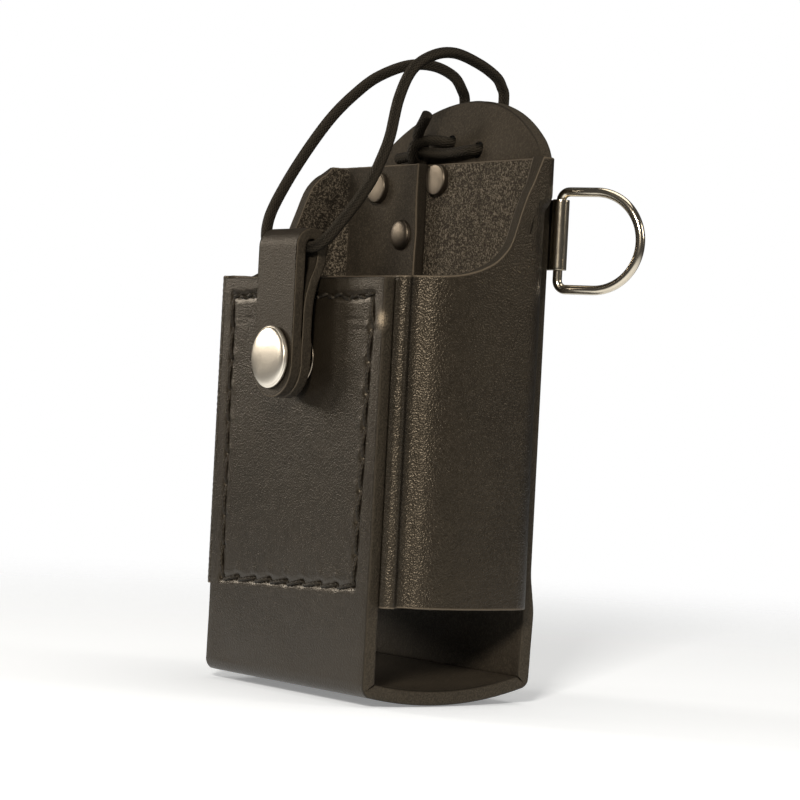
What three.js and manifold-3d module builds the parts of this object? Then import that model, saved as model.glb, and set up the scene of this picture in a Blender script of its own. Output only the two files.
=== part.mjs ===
// A black leather carrying case for a hand-held radio: a cradle strap that runs under the radio, a
// wrap-round body, a belt loop, two dee rings, and an elastic retainer closed by a snap tab.
// Millimetres, +Z up, front panel facing -Y. The origin is on the strap's back face, where a belt bears.

import * as THREE from 'three';
import { mergeVertices } from 'three/addons/utils/BufferGeometryUtils.js';
import Module from 'manifold-3d';

const wasm = await Module();
wasm.setup();

// ---------------------------------------------------------------- driving dimensions

const gap = 0.3; // clearance left between touching pieces
const caseDepth = 50.8; // front panel's face to strap's back face

// cradle strap
const strapWidth = 72;
const strapLeather = 3.7;
const panelTop = 105; // height of the front panel above the floor's lowest line
const floorRadius = 95; // the floor sags between its two folds
const floorLowY = -3;
const headTop = 155; // height of the rounded head
const headRadius = 50;
const headLean = 4; // the head leans back by this much at its top
const headLeanFrom = 138;
const bulge = 1.4; // the back stands out where the body's lower edge lets go of it
const bulgeHeight = 23;

// wrap-round body
const wrapLeather = 3.3;
const wrapOverhang = 8.75; // how far the body stands out past each of the strap's edges
const wrapShift = -0.95; // the body sits a little to the left of the strap
const wrapBottom = 24.3;
const wrapBackTop = 137.8;
const wrapCorner = 8; // outer radius of the two back corners
const squareFrom = 124; // above this height the back corners are pressed square
const squareTo = 128.5;
const flapEnd = -7; // free edge of the flap that overlaps inside the back
const underlapInset = 2; // the layer under it ends this far in from the strap's left edge
const wingShiftLeft = -5; // the left wing reaches further forward

// belt loop
const loopWidth = 31.6;
const loopLeather = 3;
const loopX = -13.2;
const loopTopEnd = 137;
const loopBottomEnd = 35.6;
const beltWidth = 50;
const beltGap = 7;
const beltMiddle = 79;
const beltRamp = 6.5;

// rivets
const rivetCap = 8.3;
const rivetCapHeight = 1.9;
const rivetSocket = 4.2; // outer diameter of the tube under the cap
const rivetShank = 2.4;
const rivetPitch = 21.7; // the upper pair
const rivetUpper = 132.6;
const rivetMiddle = 119.1;
const rivetLower = 40.4;

// snap and tab
const tabX = 0.8;
const tabWidth = 17.2;
const tabLeather = 2.8;
const tabLayers = 0.2; // slit between the two layers
const tabStandoff = 2.3; // rear layer to front panel
const tabBottom = 74.2;
const tabEye = 3.7; // inner width of the fold that the cord runs through
const tabEyeHeight = 112.4;
const snapHeight = 84.4;
const snapCap = 15.8;
const snapSocket = 13.4;
const snapHole = 8; // opening in the socket
const studBase = 13.4;
const studPost = 5;

// elastic cord
const cord = 2.9;
const cordHole = 4.6;
const holeLeft = [-4, 143.6];
const holeRight = [8.5, 141.4];
const hingeHeight = 157; // the cord bends over the head here
const bendRoom = 1.7; // free length at the bend, so that the loop can swing back

// dee rings
const deeWire = 2.4;
const deeInside = 22.3;
const deeReach = 23.5; // bar axis to the outside of the bow
const deeBend = 2.3;
const deeHeight = 117.6;
const deeOverhang = 2.6; // the ring's bar stands out past the strap's edge
const deeSwing = 26; // both rings rest swung back by this angle, in degrees
const clipSheet = 0.7;
const clipLength = 17.8;
const clipTop = 127.9;
const clipLeg = 9.1;
const clipPinInset = 3.3; // in from the strap's edge
const clipPlay = 0.25; // clearance all round the ring's bar
const clipSlit = 0.15; // half the slit between the two legs
const pinShank = 2.4;
const pinHead = 5.6;
const pinSink = 1.1;

// stitching
const thread = 0.9;
const stitchInset = 4.3;
const stitchTop = 100.2;
const stitchBottom = 27.8;

// ---------------------------------------------------------------- derived values

const frontY = -caseDepth / 2;
const backY = caseDepth / 2;
const halfStrap = strapWidth / 2;
const wrapHalfWidth = halfStrap + wrapOverhang;
const underlapEnd = underlapInset - halfStrap;
const deeBarX = halfStrap + deeOverhang;
const clipPinX = halfStrap - clipPinInset;
const strapFrontInner = frontY + strapLeather;
const strapBackInner = backY - strapLeather;
const wrapFrontOuter = strapFrontInner + gap;
const wrapFrontInner = wrapFrontOuter + wrapLeather;
const wrapBackOuter = strapBackInner - gap;
const wrapBackInner = wrapBackOuter - wrapLeather;
const flapOuter = wrapBackInner - gap;
const flapInner = flapOuter - wrapLeather;
const loopInner = backY + gap;
const loopOuter = loopInner + loopLeather;
const tabRear = frontY - tabStandoff;
const tabFront = tabRear - 2 * tabLeather - tabLayers;
const eyeY = tabFront + tabLeather + tabEye / 2;
const beltFace = new THREE.Vector3(0, backY, beltMiddle);
const hingeY = backY + headLean + gap + cord / 2;
const clipClear = deeWire / 2 + clipPlay;
const legPlane = backY + gap + clipSheet + clipSlit; // middle plane between the clip's two legs
const clipMiddle = clipTop - clipLength / 2;

// ---------------------------------------------------------------- finishes

function finish(color, roughness, metalness = 0) {
  return new THREE.MeshStandardMaterial({ color, roughness, metalness });
}

const blackLeather = finish(0x2b2723, 0.5);
const tabHide = finish(0x2a2521, 0.55);
const nickel = finish(0xb9b3a6, 0.25, 1);
const darkNickel = finish(0x6d675f, 0.35, 1);
const waxedThread = finish(0x0d0c0b, 0.6);
const elastic = finish(0x14120f, 0.8);

const model = new THREE.Group();
model.position.copy(beltFace).negate();

function place(name, geometry, material, parent = model) {
  const mesh = new THREE.Mesh(geometry, material);
  mesh.name = name;
  parent.add(mesh);
  return mesh;
}

// ---------------------------------------------------------------- solids

function solid(geometry) {
  const bare = geometry.clone();
  bare.deleteAttribute('normal');
  bare.deleteAttribute('uv');
  const merged = mergeVertices(bare, 1e-4);
  return new wasm.Manifold(new wasm.Mesh({
    numProp: 3,
    vertProperties: new Float32Array(merged.attributes.position.array),
    triVerts: new Uint32Array(merged.index.array),
  }));
}

function surface(manifold) {
  const mesh = manifold.getMesh();
  const geometry = new THREE.BufferGeometry();
  geometry.setAttribute('position', new THREE.BufferAttribute(mesh.vertProperties, 3));
  geometry.setIndex(new THREE.BufferAttribute(mesh.triVerts, 1));
  return geometry;
}

function cut(geometry, tools) {
  let body = solid(geometry);
  for (const tool of tools) body = body.subtract(solid(tool));
  return surface(body);
}

// A cylinder along Y, as a punch for holes through the leather.
function punch(x, z, diameter, fromY, toY, sides = 16) {
  const geometry = new THREE.CylinderGeometry(diameter / 2, diameter / 2, toY - fromY, sides);
  return geometry.translate(x, (fromY + toY) / 2, z);
}

// An outline in (y, z), extruded along X about the middle x.
function acrossX(outline, width, middleX = 0) {
  const section = new THREE.Shape(outline);
  const geometry = new THREE.ExtrudeGeometry(section, { depth: width, bevelEnabled: false });
  const axes = new THREE.Matrix4().makeBasis(
    new THREE.Vector3(0, 1, 0), new THREE.Vector3(0, 0, 1), new THREE.Vector3(1, 0, 0));
  return geometry.applyMatrix4(axes).translate(middleX - width / 2, 0, 0);
}

// A shape in (x, z), extruded along Y between two depths.
function alongY(shape, fromY, toY, curveSegments = 12) {
  const depth = toY - fromY;
  const geometry = new THREE.ExtrudeGeometry(shape, { depth, bevelEnabled: false, curveSegments });
  return geometry.rotateX(Math.PI / 2).translate(0, toY, 0);
}

// A profile of [radius, height] turned about Y: heights run towards -Y from a face at startY.
function turned(profile, x, startY, z, segments = 18) {
  const points = profile.map(([radius, height]) => new THREE.Vector2(radius, height));
  const geometry = new THREE.LatheGeometry(points, segments);
  return geometry.rotateX(Math.PI).translate(x, startY, z);
}

// A round tube along a curve, with flat ends.
function tube(curve, diameter, steps, sides = 8) {
  const circle = new THREE.Shape().absarc(0, 0, diameter / 2, 0, Math.PI * 2);
  return new THREE.ExtrudeGeometry(circle, {
    steps, extrudePath: curve, curveSegments: sides / 2, bevelEnabled: false,
  });
}

// A round tube along a closed path. Each frame holds a centre and two directions across the path,
// whose cross product points along it.
function closedTube(frames, diameter, sides) {
  const positions = [];
  for (const { centre, first, second } of frames) {
    for (let j = 0; j < sides; j += 1) {
      const angle = (j / sides) * Math.PI * 2;
      const point = centre.clone().addScaledVector(first, (Math.cos(angle) * diameter) / 2);
      point.addScaledVector(second, (Math.sin(angle) * diameter) / 2);
      positions.push(...point.toArray());
    }
  }
  const index = [];
  for (let i = 0; i < frames.length; i += 1) {
    const next = (i + 1) % frames.length;
    for (let j = 0; j < sides; j += 1) {
      const around = (j + 1) % sides;
      const [a, b, c, d] = [i * sides + j, i * sides + around, next * sides + around, next * sides + j];
      index.push(a, b, c, a, c, d);
    }
  }
  const geometry = new THREE.BufferGeometry();
  geometry.setAttribute('position', new THREE.Float32BufferAttribute(positions, 3));
  geometry.setIndex(index);
  return geometry;
}

// A sheet of leather with its own thickness: two grids of points, the outer and the inner face, with
// rows going up and columns going clockwise seen from above, closed along all four edges.
function sheet(outer, inner) {
  const rows = outer.length;
  const columns = outer[0].length;
  const positions = [...outer.flat(), ...inner.flat()].flatMap((point) => point.toArray());
  const half = rows * columns;
  const index = [];
  const quad = (a, b, c, d) => index.push(a, b, c, a, c, d);
  for (let r = 0; r < rows - 1; r += 1) {
    for (let c = 0; c < columns - 1; c += 1) {
      const a = r * columns + c;
      quad(a, a + columns, a + columns + 1, a + 1);
      quad(half + a, half + a + 1, half + a + columns + 1, half + a + columns);
    }
  }
  for (let c = 0; c < columns - 1; c += 1) {
    const top = (rows - 1) * columns + c;
    quad(c, c + 1, half + c + 1, half + c);
    quad(top, half + top, half + top + 1, top + 1);
  }
  for (let r = 0; r < rows - 1; r += 1) {
    const a = r * columns;
    const b = a + columns - 1;
    quad(a, half + a, half + a + columns, a + columns);
    quad(b, b + columns, half + b + columns, half + b);
  }
  const geometry = new THREE.BufferGeometry();
  geometry.setAttribute('position', new THREE.Float32BufferAttribute(positions, 3));
  geometry.setIndex(index);
  return geometry;
}

const point2 = ([x, y]) => new THREE.Vector2(x, y);
const point3 = ([x, y, z]) => new THREE.Vector3(x, y, z);

// ---------------------------------------------------------------- rivets

// Each rivet joins every layer from the inside face at fromY to the outside face at toY.
const rivets = [
  { name: 'upper_left', x: loopX - rivetPitch / 2, z: rivetUpper - 0.8, fromY: flapInner },
  { name: 'upper_right', x: loopX + rivetPitch / 2, z: rivetUpper + 0.9, fromY: wrapBackInner },
  { name: 'middle', x: loopX - 0.7, z: rivetMiddle, fromY: flapInner },
  { name: 'lower_left', x: loopX - rivetPitch / 2, z: rivetLower, fromY: flapInner },
  { name: 'lower_right', x: loopX + rivetPitch / 2, z: rivetLower, fromY: wrapBackInner },
];

function rivetPunches() {
  return rivets.map((rivet) => punch(rivet.x, rivet.z, rivetSocket + 2 * gap, 0, loopOuter + gap, 14));
}

function makeRivets() {
  const capRadius = rivetCap / 2;
  const socketRadius = rivetSocket / 2;
  const bore = rivetShank / 2 + gap;
  for (const rivet of rivets) {
    const depth = loopOuter - rivet.fromY;
    const inside = rivet.fromY - gap;
    // The cap's tube reaches most of the way through; the post's shank seats inside it.
    place(`rivet_cap_${rivet.name}`, turned([
      [0, 0.6], [bore, 0.6], [bore, -depth + 1.2], [socketRadius, -depth + 1.2], [socketRadius, 0],
      [capRadius - 0.3, 0], [capRadius, 0.4], [capRadius, rivetCapHeight - 0.6],
      [capRadius * 0.86, rivetCapHeight - 0.15], [capRadius * 0.45, rivetCapHeight], [0, rivetCapHeight],
    ], rivet.x, inside, rivet.z, 16), nickel);
    const outside = loopOuter + gap;
    place(`rivet_post_${rivet.name}`, turned([
      [0, -1.2], [capRadius * 0.8, -1.1], [capRadius, -0.6], [capRadius, -0.1], [capRadius - 0.2, 0],
      [rivetShank / 2, 0], [rivetShank / 2, depth - 0.6], [0, depth - 0.6],
    ], rivet.x, outside, rivet.z, 14), nickel);
  }
}

// ---------------------------------------------------------------- cradle strap

const floorHeight = (y) => (y - floorLowY) ** 2 / (2 * floorRadius);

// The strap's outer side in (y, z), from the panel's top edge down, under and up to the head.
function strapSide(inset) {
  const front = frontY + inset;
  const back = backY - inset;
  const foldRadius = 1.6;
  const points = [[front, panelTop], [front, floorHeight(front) + inset + foldRadius]];
  const floorSteps = 14;
  const from = front + foldRadius;
  const to = back - foldRadius + 0.6;
  for (let i = 0; i <= floorSteps; i += 1) {
    const y = from + ((to - from) * i) / floorSteps;
    points.push([y, floorHeight(y) + inset]);
  }
  const heel = floorHeight(backY) + inset + 1.4;
  const rise = new THREE.SplineCurve([
    [back + 0.6, heel], [back + 1.1, bulgeHeight - 9], [back + bulge, bulgeHeight],
    [back + 0.7, bulgeHeight + 5], [back + 0.1, bulgeHeight + 9], [back, bulgeHeight + 14],
    [back, bulgeHeight + 20],
  ].map(point2));
  for (const point of rise.getPoints(15)) points.push([point.x, point.y]);
  const leanSteps = 5;
  for (let i = 0; i <= leanSteps; i += 1) {
    const z = headLeanFrom + ((headTop + 1 - headLeanFrom) * i) / leanSteps;
    points.push([back + headLean * ((z - headLeanFrom) / (headTop - headLeanFrom)) ** 1.5, z]);
  }
  return points;
}

// The strap seen from the front: straight sides and a head that is one wide arc.
function strapFace() {
  const arcHeight = (x) => headTop - headRadius + Math.sqrt(headRadius ** 2 - x ** 2);
  const shoulder = 4;
  const inner = halfStrap - shoulder;
  const shape = new THREE.Shape();
  shape.moveTo(-halfStrap, -10);
  shape.lineTo(halfStrap, -10);
  shape.lineTo(halfStrap, arcHeight(halfStrap) - shoulder);
  shape.quadraticCurveTo(halfStrap, arcHeight(halfStrap), inner, arcHeight(inner));
  const start = Math.acos(inner / headRadius);
  shape.absarc(0, headTop - headRadius, headRadius, start, Math.PI - start);
  shape.quadraticCurveTo(-halfStrap, arcHeight(halfStrap), -halfStrap, arcHeight(halfStrap) - shoulder);
  return shape;
}

function makeStrap() {
  const outline = [...strapSide(0), ...strapSide(strapLeather).reverse()].map(point2);
  const strip = acrossX(outline, strapWidth + 2);
  const face = alongY(strapFace(), -caseDepth, caseDepth, 14);
  const holes = [
    ...rivetPunches(),
    punch(tabX, snapHeight, studPost + 2 * gap, -caseDepth, 0),
    punch(holeLeft[0], holeLeft[1], cordHole, 0, caseDepth, 12),
    punch(holeRight[0], holeRight[1], cordHole, 0, caseDepth, 12),
  ];
  for (const side of [-1, 1]) {
    holes.push(punch(side * clipPinX, clipMiddle, pinShank + 2 * gap, 0, caseDepth, 12));
    holes.push(punch(side * clipPinX, clipMiddle, pinHead + 2 * gap, 0, strapBackInner + pinSink, 14));
  }
  let body = solid(strip).intersect(solid(face));
  for (const hole of holes) body = body.subtract(solid(hole));
  place('cradle_strap', surface(body), blackLeather);
}

// ---------------------------------------------------------------- wrap-round body

// The top edge over each side, as height against depth: level along the front, then a rising wing. The
// left wing has the fuller shoulder.
const wingDepths = [-30, -18, -5, -0.5, 4, 7.6, 9.7, 12.4, 15.3, 17.7, 19.2, 24];
const wingHeights = [105.2, 105.8, 107.2, 108.8, 111.6, 116.4, 122.6, 129.2, 133.4, 136.3, 137.6, 137.8];
const leftWingHeights = [105.2, 105.8, 107.4, 110.2, 116.6, 125, 130.4, 134, 136, 137.1, 137.6, 137.8];
const wings = new Map([
  [1, new THREE.CubicInterpolant(wingDepths, wingHeights, 1)],
  [-1, new THREE.CubicInterpolant(wingDepths, leftWingHeights, 1)],
]);
const wingHeight = (sign, y) => Math.min(wings.get(sign).evaluate(y)[0], wrapBackTop);

// The side in plan, from the back corner forward: a long bow, a pressed groove, then a bead that
// stands beside the strap's edge. Distances are in from the half width and from the front face.
function sideCurves(sign, cornerY) {
  const x = (inset) => wrapShift + sign * (wrapHalfWidth - inset);
  const y = wrapFrontOuter;
  const outer = [
    [x(0), cornerY], [x(-0.3), cornerY - 7.4], [x(0.1), 18.4 + y], [x(1.3), 11.4 + y], [x(2.7), 6.9 + y],
    [x(4.3), 4.1 + y], [x(4.1), 2.3 + y], [x(3.8), 0.7 + y], [x(4.4), -0.9 + y], [x(5.8), -1.6 + y],
    [x(6.8), -1.2 + y], [x(7.1), -0.3 + y], [x(8.4), y],
  ];
  const t = wrapLeather;
  const inner = [
    [x(t), cornerY], [x(t - 0.3), cornerY - 7.4], [x(t + 0.1), 18.4 + y], [x(t + 1.5), 11.4 + y],
    [x(t + 3), 7.8 + y], [x(t + 4), 6 + y], [x(t + 4.9), 4.8 + y], [x(t + 5.9), 4 + y],
    [x(t + 6.9), t + 0.3 + y], [x(t + 7.7), t + 0.1 + y], [x(t + 8.4), t + y], [x(t + 9.2), t + y],
    [x(t + 9.8), t + y],
  ];
  return [new THREE.SplineCurve(outer.map(point2)), new THREE.SplineCurve(inner.map(point2))];
}

// A back corner: a quarter round at height zero to squareFrom, and nearly square above squareTo.
function cornerPoint(centreX, centreY, radius, sign, turn, z) {
  const square = THREE.MathUtils.smoothstep(z, squareFrom, squareTo);
  const power = 2 / (2 + 3 * square);
  const across = Math.cos(turn) ** power;
  const along = Math.sin(turn) ** power;
  return [centreX + sign * radius * across, centreY + radius * along];
}

function makeWrap() {
  const levels = [0, 0.3, 0.6, 0.84, 0.885, 0.915, 0.95, 1];
  const cornerSteps = 8;
  const sideSteps = 28;
  const stations = [];
  const straight = (fromX, toX, outerY, innerY, steps, top) => {
    for (let i = 0; i < steps; i += 1) {
      const x = fromX + ((toX - fromX) * i) / steps;
      stations.push(() => [[x, outerY], [x, innerY], top]);
    }
  };
  const corner = (sign, outerY, order) => {
    const centreX = wrapShift + sign * (wrapHalfWidth - wrapCorner);
    const centreY = outerY - wrapCorner;
    for (const i of order) {
      const turn = Math.max((i / cornerSteps) * (Math.PI / 2), 1e-9);
      stations.push((z) => [
        cornerPoint(centreX, centreY, wrapCorner, sign, turn, z),
        cornerPoint(centreX, centreY, wrapCorner - wrapLeather, sign, turn, z), wrapBackTop,
      ]);
    }
  };
  const side = (sign, outerY, shift, order) => {
    const [outer, inner] = sideCurves(sign, outerY - wrapCorner);
    for (const i of order) {
      // Stations crowd towards the back, where the wing rises steeply.
      const share = (i / sideSteps) ** 1.15;
      const a = outer.getPoint(share);
      const b = inner.getPoint(share);
      const top = wingHeight(sign, a.y - shift);
      stations.push(() => [[a.x, a.y], [b.x, b.y], top]);
    }
  };
  const rising = (count) => Array.from({ length: count }, (_, i) => i);
  const innerCorner = wrapHalfWidth - wrapCorner;
  straight(underlapEnd, wrapShift + innerCorner, wrapBackOuter, wrapBackInner, 4, wrapBackTop);
  corner(1, wrapBackOuter, rising(cornerSteps).map((i) => cornerSteps - i));
  side(1, wrapBackOuter, 0, rising(sideSteps + 1));
  straight(wrapShift + innerCorner - 8, wrapShift - innerCorner + 8, wrapFrontOuter, wrapFrontInner, 3,
    wingHeight(1, wrapFrontOuter));
  side(-1, flapOuter, wingShiftLeft, rising(sideSteps + 1).map((i) => sideSteps - i));
  corner(-1, flapOuter, rising(cornerSteps).map((i) => i + 1));
  straight(wrapShift - innerCorner + 1, flapEnd, flapOuter, flapInner, 3, wrapBackTop);
  stations.push(() => [[flapEnd, flapOuter], [flapEnd, flapInner], wrapBackTop]);

  const outerGrid = [];
  const innerGrid = [];
  for (const level of levels) {
    const outerRow = [];
    const innerRow = [];
    for (const station of stations) {
      const top = station(wrapBottom)[2];
      const z = wrapBottom + (top - wrapBottom) * level;
      const [outer, inner] = station(z);
      outerRow.push(new THREE.Vector3(outer[0], outer[1], z));
      innerRow.push(new THREE.Vector3(inner[0], inner[1], z));
    }
    outerGrid.push(outerRow);
    innerGrid.push(innerRow);
  }
  const holes = [
    ...rivetPunches(),
    punch(tabX, snapHeight, studPost + 2 * gap, -caseDepth, 0),
  ];
  place('wrap_body', cut(sheet(outerGrid, innerGrid), holes), blackLeather);
}

// ---------------------------------------------------------------- belt loop

function makeBeltLoop() {
  const half = beltWidth / 2;
  const side = (offset) => {
    const bow = new THREE.SplineCurve([
      [loopInner + offset, beltMiddle + half + beltRamp + 2],
      [loopInner + offset, beltMiddle + half + beltRamp],
      [loopInner + offset + beltGap * 0.2, beltMiddle + half + beltRamp * 0.65],
      [loopInner + offset + beltGap * 0.75, beltMiddle + half + 1],
      [loopInner + offset + beltGap, beltMiddle + half - 6], [loopInner + offset + beltGap, beltMiddle],
      [loopInner + offset + beltGap, beltMiddle - half + 6],
      [loopInner + offset + beltGap * 0.75, beltMiddle - half - 1],
      [loopInner + offset + beltGap * 0.2, beltMiddle - half - beltRamp * 0.65],
      [loopInner + offset, beltMiddle - half - beltRamp],
      [loopInner + offset, beltMiddle - half - beltRamp - 2],
    ].map(point2));
    const points = bow.getPoints(24).map((point) => [point.x, point.y]);
    return [[loopInner + offset, loopTopEnd], ...points, [loopInner + offset, loopBottomEnd]];
  };
  const outline = [...side(0), ...side(loopLeather).reverse()].map(point2);
  place('belt_loop', cut(acrossX(outline, loopWidth, loopX), rivetPunches()), blackLeather);
}

// ---------------------------------------------------------------- snap tab

// The tab is one strip folded over the cord: an eye at the top and two flat layers below it.
function makeTab() {
  const eyeRadius = tabEye / 2;
  const outerRadius = eyeRadius + tabLeather;
  const foldSteps = 10;
  const fold = (radius) => {
    const points = [];
    for (let i = 0; i <= foldSteps; i += 1) {
      const turn = (i / foldSteps) * Math.PI;
      points.push([eyeY - radius * Math.cos(turn), tabEyeHeight + radius * Math.sin(turn)]);
    }
    return points;
  };
  const rearCurve = (start, end) => {
    const curve = new THREE.SplineCurve([
      [start, tabEyeHeight], [start - 0.5, tabEyeHeight - 4.5],
      [(start + end) / 2 - 0.3, tabEyeHeight - 8.5],
      [end + 0.3, tabEyeHeight - 13], [end, tabEyeHeight - 17],
    ].map(point2));
    return curve.getPoints(10).slice(1).map((point) => [point.x, point.y]);
  };
  const rearInner = tabFront + tabLeather + tabLayers;
  const outline = [
    [tabFront, tabBottom - 1], ...fold(outerRadius), ...rearCurve(eyeY + outerRadius, tabRear),
    [tabRear, tabBottom - 1], [rearInner, tabBottom - 1],
    ...rearCurve(eyeY + eyeRadius, rearInner).reverse(), ...fold(eyeRadius).reverse(),
    [tabFront + tabLeather, tabBottom - 1],
  ].map(point2);
  const half = tabWidth / 2;
  const face = new THREE.Shape();
  face.moveTo(tabX - half, tabEyeHeight + 20);
  face.lineTo(tabX - half, tabBottom + half);
  face.absarc(tabX, tabBottom + half, half, Math.PI, Math.PI * 2);
  face.lineTo(tabX + half, tabEyeHeight + 20);
  const strip = solid(acrossX(outline, tabWidth + 2, tabX));
  const body = strip.intersect(solid(alongY(face, -caseDepth, 0, 10)));
  const hole = solid(punch(tabX, snapHeight, 4.2 + 2 * gap, -caseDepth, 0, 14));
  place('snap_tab', surface(body.subtract(hole)), tabHide);
}

// The cap's post passes through both layers and is set inside the socket's collar.
function makeSnap() {
  const capRadius = snapCap / 2;
  const inside = tabRear - tabFront;
  place('snap_cap', turned([
    [0, -inside - 0.2], [1.2, -inside - 0.2], [1.2, 0], [capRadius - 0.5, 0], [capRadius, 0.35],
    [capRadius - 0.1, 0.9], [capRadius * 0.8, 1.5], [capRadius * 0.5, 1.85], [capRadius * 0.2, 2], [0, 2],
  ], tabX, tabFront - gap, snapHeight, 24), nickel);
  // Socket: a flanged collar with its mouth towards the stud.
  const socketRadius = snapSocket / 2;
  const mouth = snapHole / 2;
  place('snap_socket', turned([
    [1.5, 3.4], [1.5, -0.35], [mouth - 0.3, -0.35], [mouth, -0.9], [mouth + 0.3, -1.1], [mouth + 0.6, -0.9],
    [socketRadius - 0.4, -0.7], [socketRadius, -0.3], [socketRadius - 0.3, 0], [2.1, 0], [2.1, 3.4],
    [1.5, 3.4],
  ], tabX, tabRear + gap, snapHeight, 22), darkNickel);
  // Stud: a flange on the panel, a short round head, and a shank set through the panel and the body.
  const baseRadius = studBase / 2;
  const head = studPost / 2;
  const through = wrapFrontInner - frontY + gap;
  place('snap_stud', turned([
    [0, -0.6], [1.3, -0.6], [1.3, -through - 1.2], [head - 0.4, -through - 1.2], [head - 0.4, -0.05],
    [baseRadius, 0], [baseRadius - 0.6, 0.25], [head + 1, 0.3], [head - 0.3, 0.35], [head, 0.75],
    [head - 0.4, 1], [0, 1],
  ], tabX, frontY - gap, snapHeight, 22), nickel);
  // Eyelet: the washer that the stud's shank is set against, inside the body.
  place('snap_eyelet', turned([
    [head, 0], [head, -0.6], [baseRadius - 1, -0.6], [baseRadius - 0.6, -0.3],
    [baseRadius - 1, 0], [head, 0],
  ], tabX, wrapFrontInner + gap, snapHeight, 20), nickel);
}

// ---------------------------------------------------------------- stitching

// One saddle-stitched line round the front panel: it dips towards each hole and wanders a little.
function threadLoop(depthY, phase, sign) {
  const x = halfStrap - stitchInset;
  const corners = [
    [-x, stitchTop], [-x + 1.4, stitchBottom - 1.2], [x - 2, stitchBottom + 1.2], [x, stitchTop],
  ];
  const points = [];
  corners.forEach((corner, k) => {
    const next = corners[(k + 1) % corners.length];
    const length = Math.hypot(next[0] - corner[0], next[1] - corner[1]);
    const count = Math.round(length / 8) * 2;
    for (let i = 0; i < count; i += 1) {
      const share = i / count;
      const wave = i % 2 === phase ? 0.25 : -0.25;
      const turn = i === 0 ? 0 : wave;
      const across = [(next[1] - corner[1]) / length, -(next[0] - corner[0]) / length];
      points.push(new THREE.Vector3(
        corner[0] + (next[0] - corner[0]) * share + across[0] * turn,
        depthY + sign * Math.max(turn, 0),
        corner[1] + (next[1] - corner[1]) * share + across[1] * turn));
    }
  });
  const curve = new THREE.CatmullRomCurve3(points, true, 'centripetal');
  const steps = 64;
  const { normals, binormals } = curve.computeFrenetFrames(steps, true);
  return Array.from({ length: steps }, (_, i) => ({
    centre: curve.getPointAt(i / steps), first: normals[i], second: binormals[i],
  }));
}

function makeStitching() {
  const rest = gap + thread / 2;
  place('stitch_thread_front', closedTube(threadLoop(frontY - rest, 0, -1), thread, 6), waxedThread);
  place('stitch_thread_back', closedTube(threadLoop(wrapFrontInner + rest, 1, 1), thread, 6), waxedThread);
}

// ---------------------------------------------------------------- elastic retainer

// Half of the loop's centreline from its bend over the head to the middle of the tab's eye.
const leftStrand = [
  [-10.4, hingeY - 0.45 * bendRoom, hingeHeight + 0.9 * bendRoom], [-10.6, 27.4, 162.2],
  [-10.8, 20.7, 164.3], [-11.1, 12.4, 163.6], [-11.4, 3.1, 159.6], [-11.7, -3.7, 154.4],
  [-12, -10.4, 147.7], [-12.3, -17.1, 138.8], [-12.6, -23.2, 129.2],
  [-12.9, -27.2, 121.2], [-12.4, -28.5, 115.6], [-9.8, -28.9, 112.7],
];
const rightStrand = [
  [10.9, -28.8, 112.5], [13.7, -27.4, 114.6], [14.2, -24.6, 118], [13.6, -20.8, 122], [13, -17.3, 126],
  [12.6, -14, 130.5], [12.2, -11, 136.1], [11.8, -8.5, 142], [10.8, -5.6, 152], [10, -1.2, 159.8],
  [9, 6, 164.3], [8.4, 13.4, 165.6], [7.6, 22.1, 163.7], [7, 28.2, 161],
  [6.7, hingeY - 0.45 * bendRoom, hingeHeight + 0.9 * bendRoom],
];
const eyeSpan = [[-5, eyeY, tabEyeHeight], [0.8, eyeY, tabEyeHeight], [6.6, eyeY, tabEyeHeight]];
// From the bend down the head's back, through its hole and along its front to the knot.
const leftTail = [
  [-10.4, hingeY, hingeHeight - 0.3], [-9.6, 30.8, 153], [-7.4, 29.7, 149], [-4.9, 29.1, 145.9],
  [-4.1, 28.3, 144.2], [-4, 26.6, 143.7], [-4, 23, 143.6], [-4.5, 20.9, 143.8], [-6.9, 19.9, 144.2],
];
const rightTail = [
  [6.7, hingeY, hingeHeight - 0.3], [7.3, 30.6, 152], [8.3, 29.4, 147.4], [8.5, 28.6, 143.6],
  [8.5, 27.7, 141.9], [8.5, 26, 141.4], [8.5, 22.6, 141.4], [7.5, 20.5, 141.1], [4, 19.9, 140.5],
  [-1.5, 19.8, 140], [-6.3, 19.8, 139.9],
];
const shortEnd = [[-15.9, 19.8, 140.9], [-19.4, 19.7, 140.6], [-23.2, 19.6, 140.2]];
const upperEnd = [[-8.6, 17.2, 144.9], [-6.6, 16.2, 147.3], [-4.4, 15.6, 149.8]];

const route = (points) => new THREE.CatmullRomCurve3(points.map(point3), false, 'centripetal');

function makeElastic() {
  place('elastic_loop', tube(route([...leftStrand, ...eyeSpan, ...rightStrand]), cord, 64), elastic);
  place('elastic_anchor_left', tube(route(leftTail), cord, 12), elastic);
  place('elastic_anchor_right', tube(route(rightTail), cord, 14), elastic);
  place('elastic_end_short', tube(route(shortEnd), cord, 3), elastic);
  place('elastic_end_upper', tube(route(upperEnd), cord, 3), elastic);
  const knot = new THREE.SphereGeometry(1, 14, 10).scale(4.2, 2.7, 3.6);
  place('elastic_knot', knot.rotateY(0.5).translate(-11.4, 18.9, 142.1), elastic);
}

// ---------------------------------------------------------------- dee rings

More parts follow.
